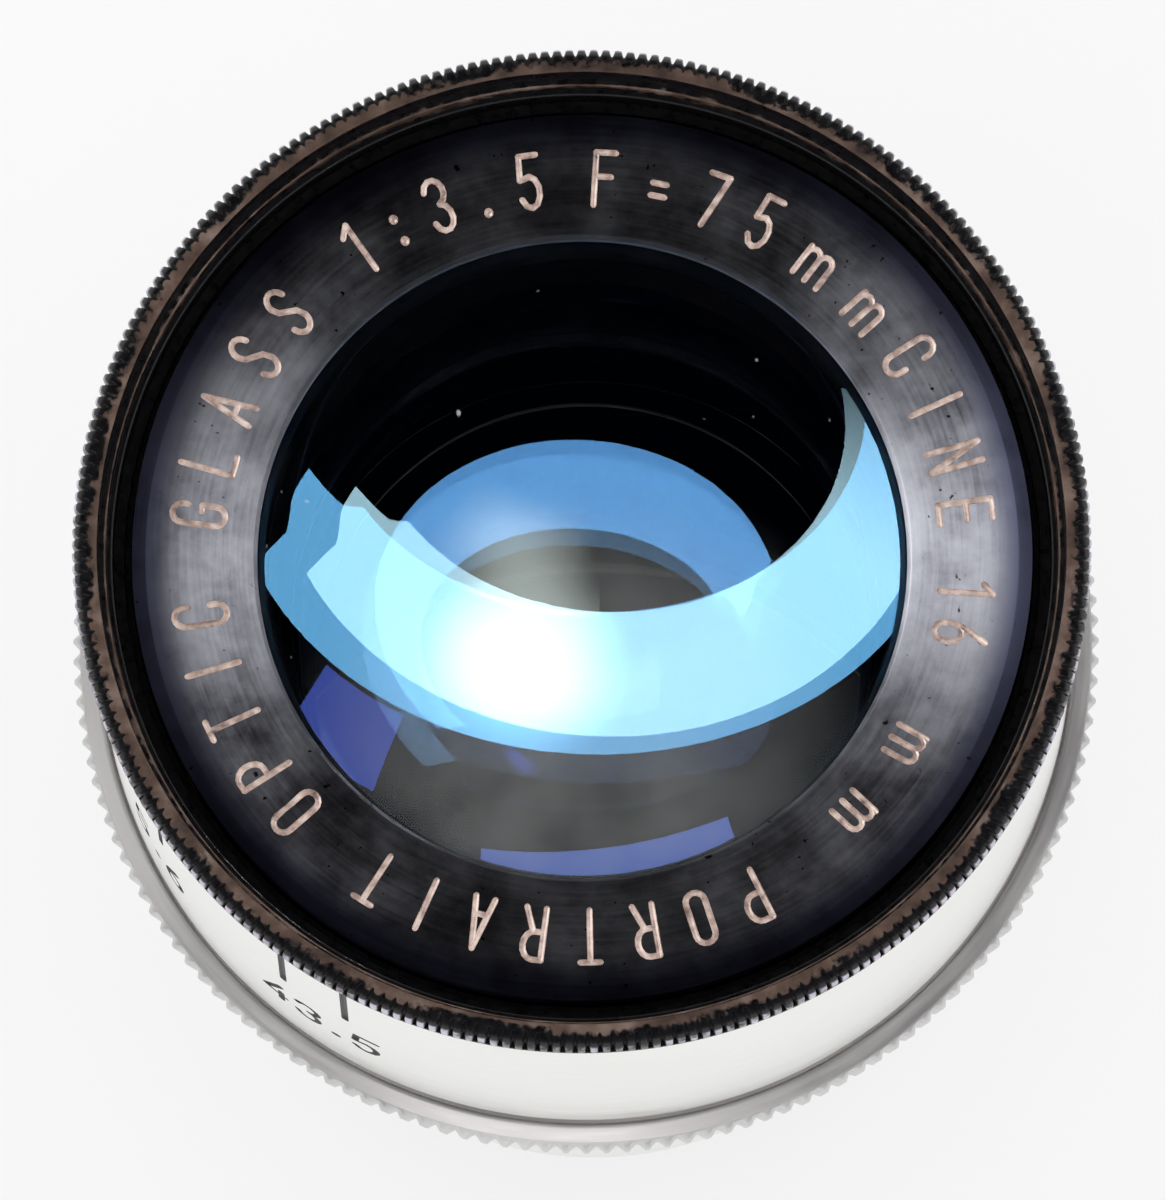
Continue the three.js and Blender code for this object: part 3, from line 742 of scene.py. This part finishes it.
def name_slope(r):
    """Height of the name ring's face at a radius: it falls gently towards the glass."""
    outer_r, inner_r = NAME_R, 12.15
    return NAME_TOP - (NAME_TOP - (NAME_UNDER + 0.7)) * (outer_r - r) / (outer_r - inner_r)


def name_letters():
    marks = []
    for text, first, last in NAME_TEXT:
        for i, letter in enumerate(text):
            azimuth = radians(first + (last - first) * i / (len(text) - 1))
            along = Vector((sin(azimuth), -cos(azimuth)))
            away = Vector((cos(azimuth), sin(azimuth)))
            width, strokes = GLYPHS[letter]
            cut = []
            for stroke in strokes:
                path = []
                for x, y in stroke:
                    across = (x - width / 2) * LETTER_HEIGHT
                    flat = away * (LETTER_FOOT_R + y * LETTER_HEIGHT) + along * across
                    path.append((flat.x, flat.y, name_slope(flat.length) + 0.025))
                cut.append((path, 1.5 if letter in DOTS else 1.0))
            marks.append(cut)
    return marks


def name_ring():
    outline = rounded([
        (LIP_R, NAME_UNDER), (NAME_R, NAME_UNDER), (NAME_R, NAME_TOP - 0.12, 0.04),
        (15.3, name_slope(15.3), 0.2), (12.1, name_slope(12.1), 0.2),
        (LIP_R + 0.12, name_slope(12.1) - 0.1, 0.1),
        (LIP_R, name_slope(12.1) - 0.3, 0.05),
    ], 0.04)
    made = lathe("name_ring_fine", outline, "name_black", 384, more_materials=("engraved_copper",))
    engrave(made, name_letters(), 0.12)
    return finish(made, "head", "name_black", "name_ring")


# ---- aperture scale

STOPS = ("3.5", "4", "5.6", "8", "11", "16", "22")
FIRST_STOP_AZIMUTH = -118.8
DEGREES_A_STOP = 22.3


def scale_radius(z):
    return SCALE_FRONT_R + (SCALE_R - SCALE_FRONT_R) * (SCALE_FRONT - z) / (SCALE_FRONT - SCALE_REAR - 0.2)


def cone_point(radius_at):
    """Maps (azimuth in degrees and foot height) plus mm across and up to a point on a turned surface."""
    def surface(centre, across, up):
        azimuth, foot = centre
        z = foot + up
        r = radius_at(z)
        angle = radians(azimuth) + across / r
        lifted = r + 0.02
        return (lifted * cos(angle), lifted * sin(angle), z)
    return surface


def scale_marks():
    surface = cone_point(scale_radius)
    marks = []
    for text in STOPS:
        stops_closed = 2 * math.log2(float(text) / 3.5)
        azimuth = FIRST_STOP_AZIMUTH - DEGREES_A_STOP * stops_closed
        tick = [surface((azimuth, 0), 0, SCALE_FRONT - 0.35 - 7.4 * i / 9) for i in range(10)]
        marks.append([(tick, 1.0)])
        marks += mark_on(surface, text, (azimuth - 1.5, SCALE_FRONT - 12.6), 2.5, 0.3)
    return marks


def scale_barrel():
    outline = rounded([
        (15.7, SCALE_REAR), (SCALE_R - 0.15, SCALE_REAR), (SCALE_R, SCALE_REAR + 0.2, 0.1),
        (SCALE_FRONT_R, SCALE_FRONT, 0.08), (16.75, SCALE_FRONT), (16.75, SCALE_REAR + 3.4),
        (15.7, SCALE_REAR + 3.4),
    ])
    made = lathe("scale_barrel_fine", outline, "satin_silver", 384, more_materials=("engraved_black",))
    hole = [(0, 15.0, SCALE_REAR + 1.7), (0, 19.0, SCALE_REAR + 1.7)]
    engrave(made, scale_marks(), 0.16)
    engrave(made, [[(hole, 1.0)]], 0.9, sides=40)
    return finish(made, "head", "satin_silver", "scale_barrel")


# ---- focusing ring

GRIP_TEETH = 156
POINTED_TOOTH = ((-0.09, 0.0), (0.09, 0.0), (0.26, 0.55), (0.42, 1.0), (0.58, 1.0), (0.74, 0.55))
FOCUS_TEXT = (("~", 0), ("10", 27), ("5", 56), ("3", 95), ("2", 143), ("1.5", 192), ("1.2", 240))
FOCUS_INDEX_AZIMUTH = -90


def focus_band_radius(z):
    return 17.6 + 0.5 * (z - FOCUS_REAR - 0.3) / (GRIP_REAR - 1 - FOCUS_REAR - 0.3)


def focus_ring():
    grip_depth = 0.24
    outline = [
        (16.2, FOCUS_REAR), (17.25, FOCUS_REAR), (17.5, FOCUS_REAR + 0.1), (17.6, FOCUS_REAR + 0.3),
        (focus_band_radius(GRIP_REAR - 1.4), GRIP_REAR - 1.4), (17.8, GRIP_REAR - 1.2),
        (17.75, GRIP_REAR - 0.5), (17.85, GRIP_REAR - 0.2), (GRIP_R - 0.8, GRIP_REAR - 0.2),
        (GRIP_R - 0.5, GRIP_REAR - 0.14, grip_depth / 2), (GRIP_R - 0.36, GRIP_REAR + 0.1, grip_depth),
        (GRIP_R - 0.3, GRIP_REAR + 0.25, grip_depth), (GRIP_R - 0.06, FOCUS_FRONT - 0.55, grip_depth),
        (GRIP_R - 0.1, FOCUS_FRONT - 0.46, grip_depth), (GRIP_R - 0.24, FOCUS_FRONT - 0.35, grip_depth / 2),
        (GRIP_R - 0.34, FOCUS_FRONT - 0.3), (GRIP_R - 0.4, FOCUS_FRONT - 0.27), (18.4, FOCUS_FRONT - 0.04),
        (18.33, FOCUS_FRONT - 0.01), (18.25, FOCUS_FRONT), (18.2, FOCUS_FRONT - 0.03),
        (18.15, FOCUS_FRONT - 0.3), (17.56, FOCUS_FRONT - 0.3), (17.5, FOCUS_FRONT - 0.36),
        (17.5, FOCUS_FRONT - 2), (16.2, FOCUS_FRONT - 2),
    ]
    made = lathe("focus_ring_fine", outline, "grip_metal", teeth=knurl(GRIP_TEETH, POINTED_TOOTH),
                 more_materials=("engraved_black", "grip_teeth"))
    # painted shade: the teeth take the darker copy of the grip's metal
    paint(made, 2, lambda r, z: r > GRIP_R - 0.45)
    surface = cone_point(focus_band_radius)
    marks = []
    for text, turn in FOCUS_TEXT:
        azimuth = FOCUS_INDEX_AZIMUTH - turn
        tick = [surface((azimuth, 0), 0, FOCUS_REAR + 0.7 + 1.8 * i / 3) for i in range(4)]
        marks.append([(tick, 1.0)])
        marks += mark_on(surface, text, (azimuth, FOCUS_REAR + 3.6), 2.2, 0.25)
    engrave(made, marks, 0.12)
    return finish(made, "focus", "grip_metal", "focus_ring")


# ---- rear barrel and mount

FIELD_DEGREES = (0, 8, -8, 16, -16, 30, -30)
BARE_END = 11.6        # the paint stops here, and the rear end of the barrel is bare


def rear_barrel():
    outline = rounded([
        (12.6, BARREL_REAR), (14.2, BARREL_REAR), (14.6, BARREL_REAR + 0.4, 0.2), (14.62, BARE_END, 0.05),
        (14.5, BARE_END + 0.05, 0.05), (14.5, BARE_END + 0.35, 0.05), (14.7, BARE_END + 0.45, 0.05),
        (14.8, 24, 1.5), (16.6, 29.3, 1.0), (16.95, BARREL_FRONT - 0.3, 0.1),
        (16.8, BARREL_FRONT, 0.1), (16, BARREL_FRONT),
        (16, 30), (13.4, 30), (13.4, BARREL_REAR + 3), (12.6, BARREL_REAR + 3),
    ])
    made = lathe("rear_barrel_fine", outline, "black_paint", 320,
                 more_materials=("engraved_white", "satin_silver"))
    paint(made, 2, lambda r, z: z < BARE_END + 0.2)
    surface = cone_point(lambda z: 16.6 + 0.35 * (z - 29.3) / (BARREL_FRONT - 29.6))
    marks = []
    for offset in FIELD_DEGREES:
        length = 3.6 if offset == 0 else 2.2
        line = [surface((FOCUS_INDEX_AZIMUTH + offset, 0), 0, BARREL_FRONT - 0.5 - length * i / 3)
                for i in range(4)]
        marks.append([(line, 1.3 if offset == 0 else 1.0)])
    engrave(made, marks, 0.13)
    return finish(made, "mount", "black_paint", "rear_barrel")


def mount_ring():
    """Flange and bore, with the mount thread cut as a true one-inch, 32 to the inch helix."""
    columns = 144
    rows = 8           # points along each turn of the thread
    bore_r = 11
    outline_top = [(THREAD_R - 0.7, FLANGE - 0.35), (THREAD_R - 0.7, FLANGE), (MOUNT_R - 0.08, FLANGE),
                   (MOUNT_R, FLANGE + 0.08), (MOUNT_R, FLANGE + 1.0), (MOUNT_R - 0.15, FLANGE + 1.1),
                   (MOUNT_R - 0.15, FLANGE + 1.5), (MOUNT_R, FLANGE + 1.6),
                   (MOUNT_R, BARREL_REAR - 0.05), (MOUNT_R - 0.05, BARREL_REAR), (bore_r, BARREL_REAR)]
    outline_bottom = [
        (bore_r, MOUNT_REAR), (THREAD_R - 0.65, MOUNT_REAR), (THREAD_R - 0.45, MOUNT_REAR + 0.2)]
    sections = int((FLANGE - 0.9) / THREAD_PITCH * rows)
    vertices = []
    count = 0
    for i in range(columns):
        azimuth = 2 * pi * i / columns
        column = list(outline_bottom)
        for j in range(sections + 1):
            z = MOUNT_REAR + 0.3 + j * THREAD_PITCH / rows
            phase = (z / THREAD_PITCH - i / columns) % 1.0
            ridge = 1 - abs(2 * phase - 1)
            fade = min(1.0, (z - MOUNT_REAR - 0.2) / 0.4, (FLANGE - 0.4 - z) / 0.4)
            column.append((THREAD_R - 0.5 + 0.5 * min(1.0, 1.25 * ridge) * max(0.0, fade), z))
        column += outline_top
        count = len(column)
        vertices += [(r * cos(azimuth) * MM, r * sin(azimuth) * MM, z * MM) for r, z in column]
    made = mesh_object("mount_ring_fine", vertices, column_faces(columns, count),
                       ("mount_metal", "matt_black"))
    paint(made, 1, lambda r, z: r < bore_r + 0.05)
    return finish(made, "mount", "mount_metal", "mount_ring")


def rear_baffle():
    bottom = low("rear_baffle")
    outline = rounded([
        (9, bottom + 3.2), (10.4, bottom), (13.2, bottom), (13.2, bottom + 1.6), (10.6, bottom + 1.6),
        (9.4, bottom + 3.8), (9, bottom + 3.8),
    ])
    return finish(lathe("rear_baffle_fine", outline, "matt_black", 192), "mount", "matt_black", "rear_baffle")


# ---- lens barrel, cells and glass


def spherical(vertex, surface_radius, r, bow, count=24):
    """Points of a spherical face, out from the axis. It falls towards its edge when bow is 1, and rises
    when it is -1."""
    points = []
    for i in range(count + 1):
        x = r * i / count
        sag = surface_radius - math.sqrt(surface_radius ** 2 - x ** 2)
        points.append((x, vertex - bow * sag))
    return points


def element(name, rear, front, rear_material, front_material):
    """A lens element. Its two polished faces may have different coatings."""
    made = lathe(name + "_fine", rear + front[::-1], front_material, 160, closed=False,
                 more_materials=(rear_material,))
    middle = (low(name) + high(name)) / 2
    paint(made, 1, lambda r, z: z < middle)
    return finish(made, "head", "coated_glass", name)


def glass():
    """Each face has the height of its middle, its radius of curvature, its reach and its bow."""
    r = outer_radius("front_element")
    element("front_element", spherical(low("front_element"), 47, r, -1, 40),
            spherical(high("front_element"), 45, r, 1, 40), "glass_blue", "coated_glass")
    r = outer_radius("middle_element")
    rear = spherical(60.2, 35, 9.9, 1)
    element("middle_element", rear + [(r, rear[-1][1])], spherical(62.35, 40, r, -1),
            "glass_pale", "glass_teal")
    r = outer_radius("rear_inner_element")
    element("rear_inner_element", spherical(50.7, 21, r, 1), spherical(52.2, 170, r, -1),
            "glass_violet", "glass_violet")
    element("rear_outer_element", spherical(45.5, 33, r, -1), spherical(50.65, 21, r, 1),
            "glass_violet", "glass_violet")


def ridged_cone(inner_r, outer_r, bottom, top, count):
    """A sloping wall cut into fine steps, against stray light, from its bottom to its top."""
    points = []
    for i in range(count):
        r = inner_r + (outer_r - inner_r) * i / count
        points.append((r, bottom + (top - bottom) * i / count))
        points.append((r + 0.02, bottom + (top - bottom) * (i + 0.85) / count))
    return points


def cells():
    front_cell = [(10.5, 58), (12, 58), (12, 60.4), (14.85, 60.4), (14.85, NAME_UNDER), (12.35, NAME_UNDER),
                  (12.35, 66.55), (10.9, 66.55)]
    front_cell += ridged_cone(9.9, 10.9, 63.8, 66.3, 7)[::-1]
    front_cell += [(10.5, 63.8)]
    finish(lathe("front_cell_fine", front_cell, "matt_black", 192), "head", "matt_black", "front_cell")
    rear_cell = rounded([
        (10.3, 45), (11.5, 45), (11.5, 49.9), (12.8, 49.9), (12.8, 51.4), (11.5, 51.4), (11.5, 53),
        (9.6, 53), (9.6, 52.55), (10.3, 52.55)], 0.05)
    finish(lathe("rear_cell_fine", rear_cell, "matt_black", 192), "head", "matt_black", "rear_cell")
    for name, inner, outer in (("middle_retaining_ring", 9.7, 10.4), ("rear_retaining_ring", 9.3, 10.2),
                               ("iris_retaining_ring", 13, 14.85)):
        rear, front = low(name), high(name)
        outline = rounded([(inner, rear), (outer, rear), (outer, front), (inner, front)], 0.08)
        finish(lathe(name + "_fine", outline, "matt_black", 160), "head", "matt_black", name)


LEAF_IN_R, LEAF_OUT_R = 9.5, 12.9
LEAF_START, LEAF_TIP = 12, 95          # azimuths of the crescent's ends
PIVOT_R = 13.6
DRIVE_R, DRIVE_AZIMUTH = 14.0, 28.0
PIVOT_TAB_R, DRIVE_TAB_R = 0.6, 0.55
LEAF_THICKNESS = 0.1
LEAF_PITCH = 0.2
LOWEST_LEAF = 54.4


def blade(order):
    """A fine crescent leaf with tabs for its two pins, in the place of the plain one."""
    outline = arc(0, 0, LEAF_IN_R, LEAF_IN_R, LEAF_START, LEAF_TIP, 48)
    middle = (LEAF_IN_R + LEAF_OUT_R) / 2
    half = (LEAF_OUT_R - LEAF_IN_R) / 2
    for i in range(1, 8):
        angle = pi * (1 - i / 8)
        r = middle + half * cos(angle)
        azimuth = radians(LEAF_TIP) + 0.35 * half * sin(angle) / middle
        outline.append((r * cos(azimuth), r * sin(azimuth)))
    neck = 2.6 * math.degrees(DRIVE_TAB_R / DRIVE_R)
    drive = radians(DRIVE_AZIMUTH)
    outline += arc(0, 0, LEAF_OUT_R, LEAF_OUT_R, LEAF_TIP, DRIVE_AZIMUTH + neck, 32)
    outline += arc(DRIVE_R * cos(drive), DRIVE_R * sin(drive), DRIVE_TAB_R, DRIVE_TAB_R,
                   DRIVE_AZIMUTH + 90, DRIVE_AZIMUTH - 90, 12)
    outline += arc(0, 0, LEAF_OUT_R, LEAF_OUT_R, DRIVE_AZIMUTH - neck, 5, 12)
    outline += arc(PIVOT_R, 0, PIVOT_TAB_R, PIVOT_TAB_R, 75, -110, 12)
    turn = radians(36 * order)
    count = len(outline)
    bottom = LOWEST_LEAF + LEAF_PITCH * order
    vertices = []
    for z in (bottom, bottom + LEAF_THICKNESS):
        for x, y in outline:
            vertices.append(((x * cos(turn) - y * sin(turn)) * MM,
                             (x * sin(turn) + y * cos(turn)) * MM, z * MM))
    faces = [tuple(reversed(range(count))), tuple(range(count, 2 * count))]
    faces += [(i, (i + 1) % count, count + (i + 1) % count, count + i) for i in range(count)]
    name = f"iris_blade_{order + 1:02d}"
    made = mesh_object(name + "_fine", vertices, faces, ("blade_steel",))
    return finish(made, f"blade_{order + 1:02d}", "blade_steel", name)


def inner_nodes():
    """The pieces inside that keep their plain shape and only take a finish."""
    slots = {entry["node"]: entry["material_slot"] for entry in frame["record"]["subparts"]}
    for name, piece in frame["nodes"].items():
        material = MATERIALS["matt_black" if name == "iris_cam_ring" else slots[name]]
        piece.data.materials.clear()
        piece.data.materials.append(material)


# ---- stage, light and camera

DISTANCE = 250.0            # camera to the middle of the front land, in mm
ELEVATION = 79.5            # degrees
LEAN = 0.47                 # degrees the camera leans over towards +X
FOCAL_LENGTH = 215.775
SENSOR_HEIGHT = 36.0
CAMERA_RIGHT = 0.055614     # mm the camera is shifted, so that the lens sits a little above the middle
CAMERA_DOWN = 2.026416

LAMP_HEIGHT = 200           # mm from the front land to the glowing sheets
HOT_SPOT = (-26, -4)        # where the sheets glow brightest, its radii and how much it adds
HOT_SPOT_RADII = (10, 46)
HOT_SPOT_GAIN = 1.8


def camera():
    data = bpy.data.cameras.new("camera")
    data.sensor_fit = "VERTICAL"
    data.sensor_height = SENSOR_HEIGHT
    data.lens = FOCAL_LENGTH
    data.clip_start = 0.01
    data.clip_end = 20
    made = add_object("camera", data)
    tilt = radians(ELEVATION)
    lean = radians(LEAN)
    forward = Vector((-sin(tilt) * sin(lean), cos(tilt), -sin(tilt) * cos(lean)))
    right = Vector((cos(lean), 0, -sin(lean)))
    up = right.cross(forward)
    target = Vector((0, 0, FRONT)) + right * CAMERA_RIGHT - up * CAMERA_DOWN
    made.location = (target - forward * DISTANCE) * MM
    made.rotation_euler = Matrix((right, up, -forward)).transposed().to_euler()
    bpy.context.scene.camera = made


def glow_material(name, colour, strength, height):
    """A glow that follows the attribute glow and has a hot spot. It lets through what is behind it, so
    that two of them add up."""
    material = bpy.data.materials.new(name)
    material.use_nodes = True
    tree = material.node_tree
    tree.nodes.clear()
    inner, outer = HOT_SPOT_RADII
    near = steps(distance_to(place(tree), (*HOT_SPOT, height)), outer * MM, inner * MM)
    level = node(tree, "ShaderNodeAttribute", attribute_name="glow").outputs["Fac"]
    light = node(tree, "ShaderNodeEmission", Color=(*colour, 1.0))
    join(plus(level, times(near, HOT_SPOT_GAIN * strength)), light.inputs["Strength"])
    both = node(tree, "ShaderNodeAddShader")
    join(light.outputs["Emission"], both.inputs[0])
    join(node(tree, "ShaderNodeBsdfTransparent").outputs["BSDF"], both.inputs[1])
    join(both.outputs["Shader"], node(tree, "ShaderNodeOutputMaterial").inputs["Surface"])
    return material


def only_on(light, *names):
    """Limits a light to some pieces."""
    group = bpy.data.collections.new(light.name + "_receivers")
    for name in names:
        group.objects.link(bpy.data.objects[name])
    light.light_linking.receiver_collection = group


def lamp_sheet(name, centre, radii, azimuths, strength, colour, ragged=0.0, fade=0.0, soft=False,
               lower=0.0):
    """A glowing arc of a ring in a level plane above the lens, or lower than that plane by some mm. Its
    start may be ragged, the last quarter of its length may fade, and a soft one fades towards all its
    edges. It only shows in reflections."""
    height = FRONT + LAMP_HEIGHT - lower
    ragged_start = ((0.0, 6), (0.12, 3), (0.25, -9), (0.45, -6), (0.6, -0.5), (1.0, 0.5))
    steps_round, steps_across = 90, 16
    row = steps_across + 1
    vertices = []
    glow = []
    for i in range(steps_round + 1):
        for j in range(steps_across + 1):
            share = j / steps_across
            first = azimuths[0] + ragged * float(np.interp(share, *zip(*ragged_start)))
            azimuth = radians(first + (azimuths[1] - first) * i / steps_round)
            r = radii[0] + (radii[1] - radii[0]) * share
            vertices.append(((centre[0] + r * cos(azimuth)) * MM,
                             (centre[1] + r * sin(azimuth)) * MM, height * MM))
            level = strength * (1 - fade * max(0.0, 4 * i / steps_round - 3))
            if soft:
                level *= (sin(pi * share) * sin(pi * i / steps_round)) ** 1.5
            glow.append(level)
    faces = [(a, a + row, a + row + 1, a + 1)
             for i in range(steps_round) for a in range(i * row, i * row + steps_across)]
    material = glow_material(name + "_light", colour, strength, height)
    made = add_object(name, new_mesh(name, vertices, faces, [material]))
    set_attribute(made, "glow", glow)
    made.visible_camera = False
    made.visible_diffuse = False
    made.visible_shadow = False
    return made


def ring_lamps():
    """The polished glass mirrors a broad ring lamp as crescents, a second, warmer one beside it, two
    violet gleams outside them and a soft cloud inside them."""
    middle = (5, 134)
    broad = lamp_sheet("broad_lamp", middle, (119, 173), (211, 395), 10.5, (0.95, 1.0, 1.1), ragged=1.0)
    second = lamp_sheet("second_lamp", (10, 116), (101, 148), (212, 364), 25.0, (1.05, 0.57, 0.42),
                        ragged=1.0, fade=0.8, lower=1.0)
    left_gleam = lamp_sheet("left_gleam", middle, (175, 209), (231, 244), 5.0, (0.62, 0.34, 1.0))
    lower_gleam = lamp_sheet("lower_gleam", (-20, 134), (212, 232), (264, 291), 6.5, (0.9, 0.5, 1.0))
    cloud = lamp_sheet("cloud", middle, (76, 121), (232, 270), 22.0, (1.0, 0.38, 0.22), soft=True,
                       lower=2.0)
    only_on(broad, "front_element_fine", "middle_element_fine", "rear_inner_element_fine",
            "rear_outer_element_fine")
    for lamp in (second, left_gleam, lower_gleam, cloud):
        only_on(lamp, "front_element_fine")
        lamp.visible_transmission = False


def area_light(name, location, size, power):
    data = bpy.data.lights.new(name, "AREA")
    data.shape = "RECTANGLE"
    data.size, data.size_y = size
    data.energy = power
    made = add_object(name, data)
    made.location = location
    made.rotation_euler = (Vector((0, 0, 0.06)) - Vector(location)).to_track_quat("-Z", "Y").to_euler()
    return made


def world():
    """A pale tent for the camera and for diffuse light. Reflections see it dark overhead, with a pale
    horizon."""
    made = bpy.data.worlds.new("tent")
    made.use_nodes = True
    tree = made.node_tree
    background = tree.nodes["Background"]
    split = node(tree, "ShaderNodeSeparateXYZ")
    join(node(tree, "ShaderNodeTexCoord").outputs["Generated"], split.inputs["Vector"])
    up = split.outputs["Z"]
    horizon = times(steps(up, 0.34, 0.2), steps(up, -0.5, -0.1))
    mirrored = ramp(horizon, (0.0, (0.004, 0.004, 0.005)), (1.0, (1.0, 1.0, 1.0)))
    path = node(tree, "ShaderNodeLightPath")
    plain = maths("MAXIMUM", path.outputs["Is Camera Ray"], path.outputs["Is Diffuse Ray"])
    join(mix_colour(plain, mirrored, (1.15, 1.15, 1.15)), background.inputs["Color"])
    background.inputs["Strength"].default_value = 1.0
    bpy.context.scene.world = made


def floor():
    """Paper that glows a little, since it is lit until it is almost white."""
    size = 1.5
    material = new_material(
        "paper", Base_Color=(0.3, 0.3, 0.3, 1), Emission_Color=(1, 1, 1, 1), Emission_Strength=0.63,
        Roughness=0.9, Specular_IOR_Level=0.1)[0]
    corners = [(-size, -size, 0), (size, -size, 0), (size, size, 0), (-size, size, 0)]
    made = add_object("floor", new_mesh("floor", corners, [(0, 1, 2, 3)], [material]))
    made.visible_transmission = False


def lights():
    """A weak key light that no glass mirrors, two strips for the name ring and two panels for the grip."""
    key = area_light("key", (-0.25, -0.35, 0.55), (0.35, 0.35), 0.25)
    key.visible_glossy = False
    key.visible_transmission = False
    for name, location, size, power, piece in (
            ("left_strip", (-0.4, 0.08, 0.35), (0.25, 0.12), 5.2, "name_ring_fine"),
            ("right_strip", (0.4, 0.08, 0.35), (0.25, 0.12), 1.7, "name_ring_fine"),
            ("grip_front", (-0.04, -0.32, 0.36), (0.22, 0.18), 0.26, "focus_ring_fine"),
            ("grip_left", (-0.36, -0.05, 0.33), (0.18, 0.25), 0.11, "focus_ring_fine")):
        light = area_light(name, location, size, power)
        light.visible_diffuse = False
        only_on(light, piece)


# ---- build

inner_nodes()
aperture_ring()
name_ring()
scale_barrel()
focus_ring()
rear_barrel()
mount_ring()
rear_baffle()
glass()
cells()
for blade_order in range(10):
    blade(blade_order)
floor()
world()
lights()
ring_lamps()
camera()
bpy.context.scene.view_settings.view_transform = "Standard"
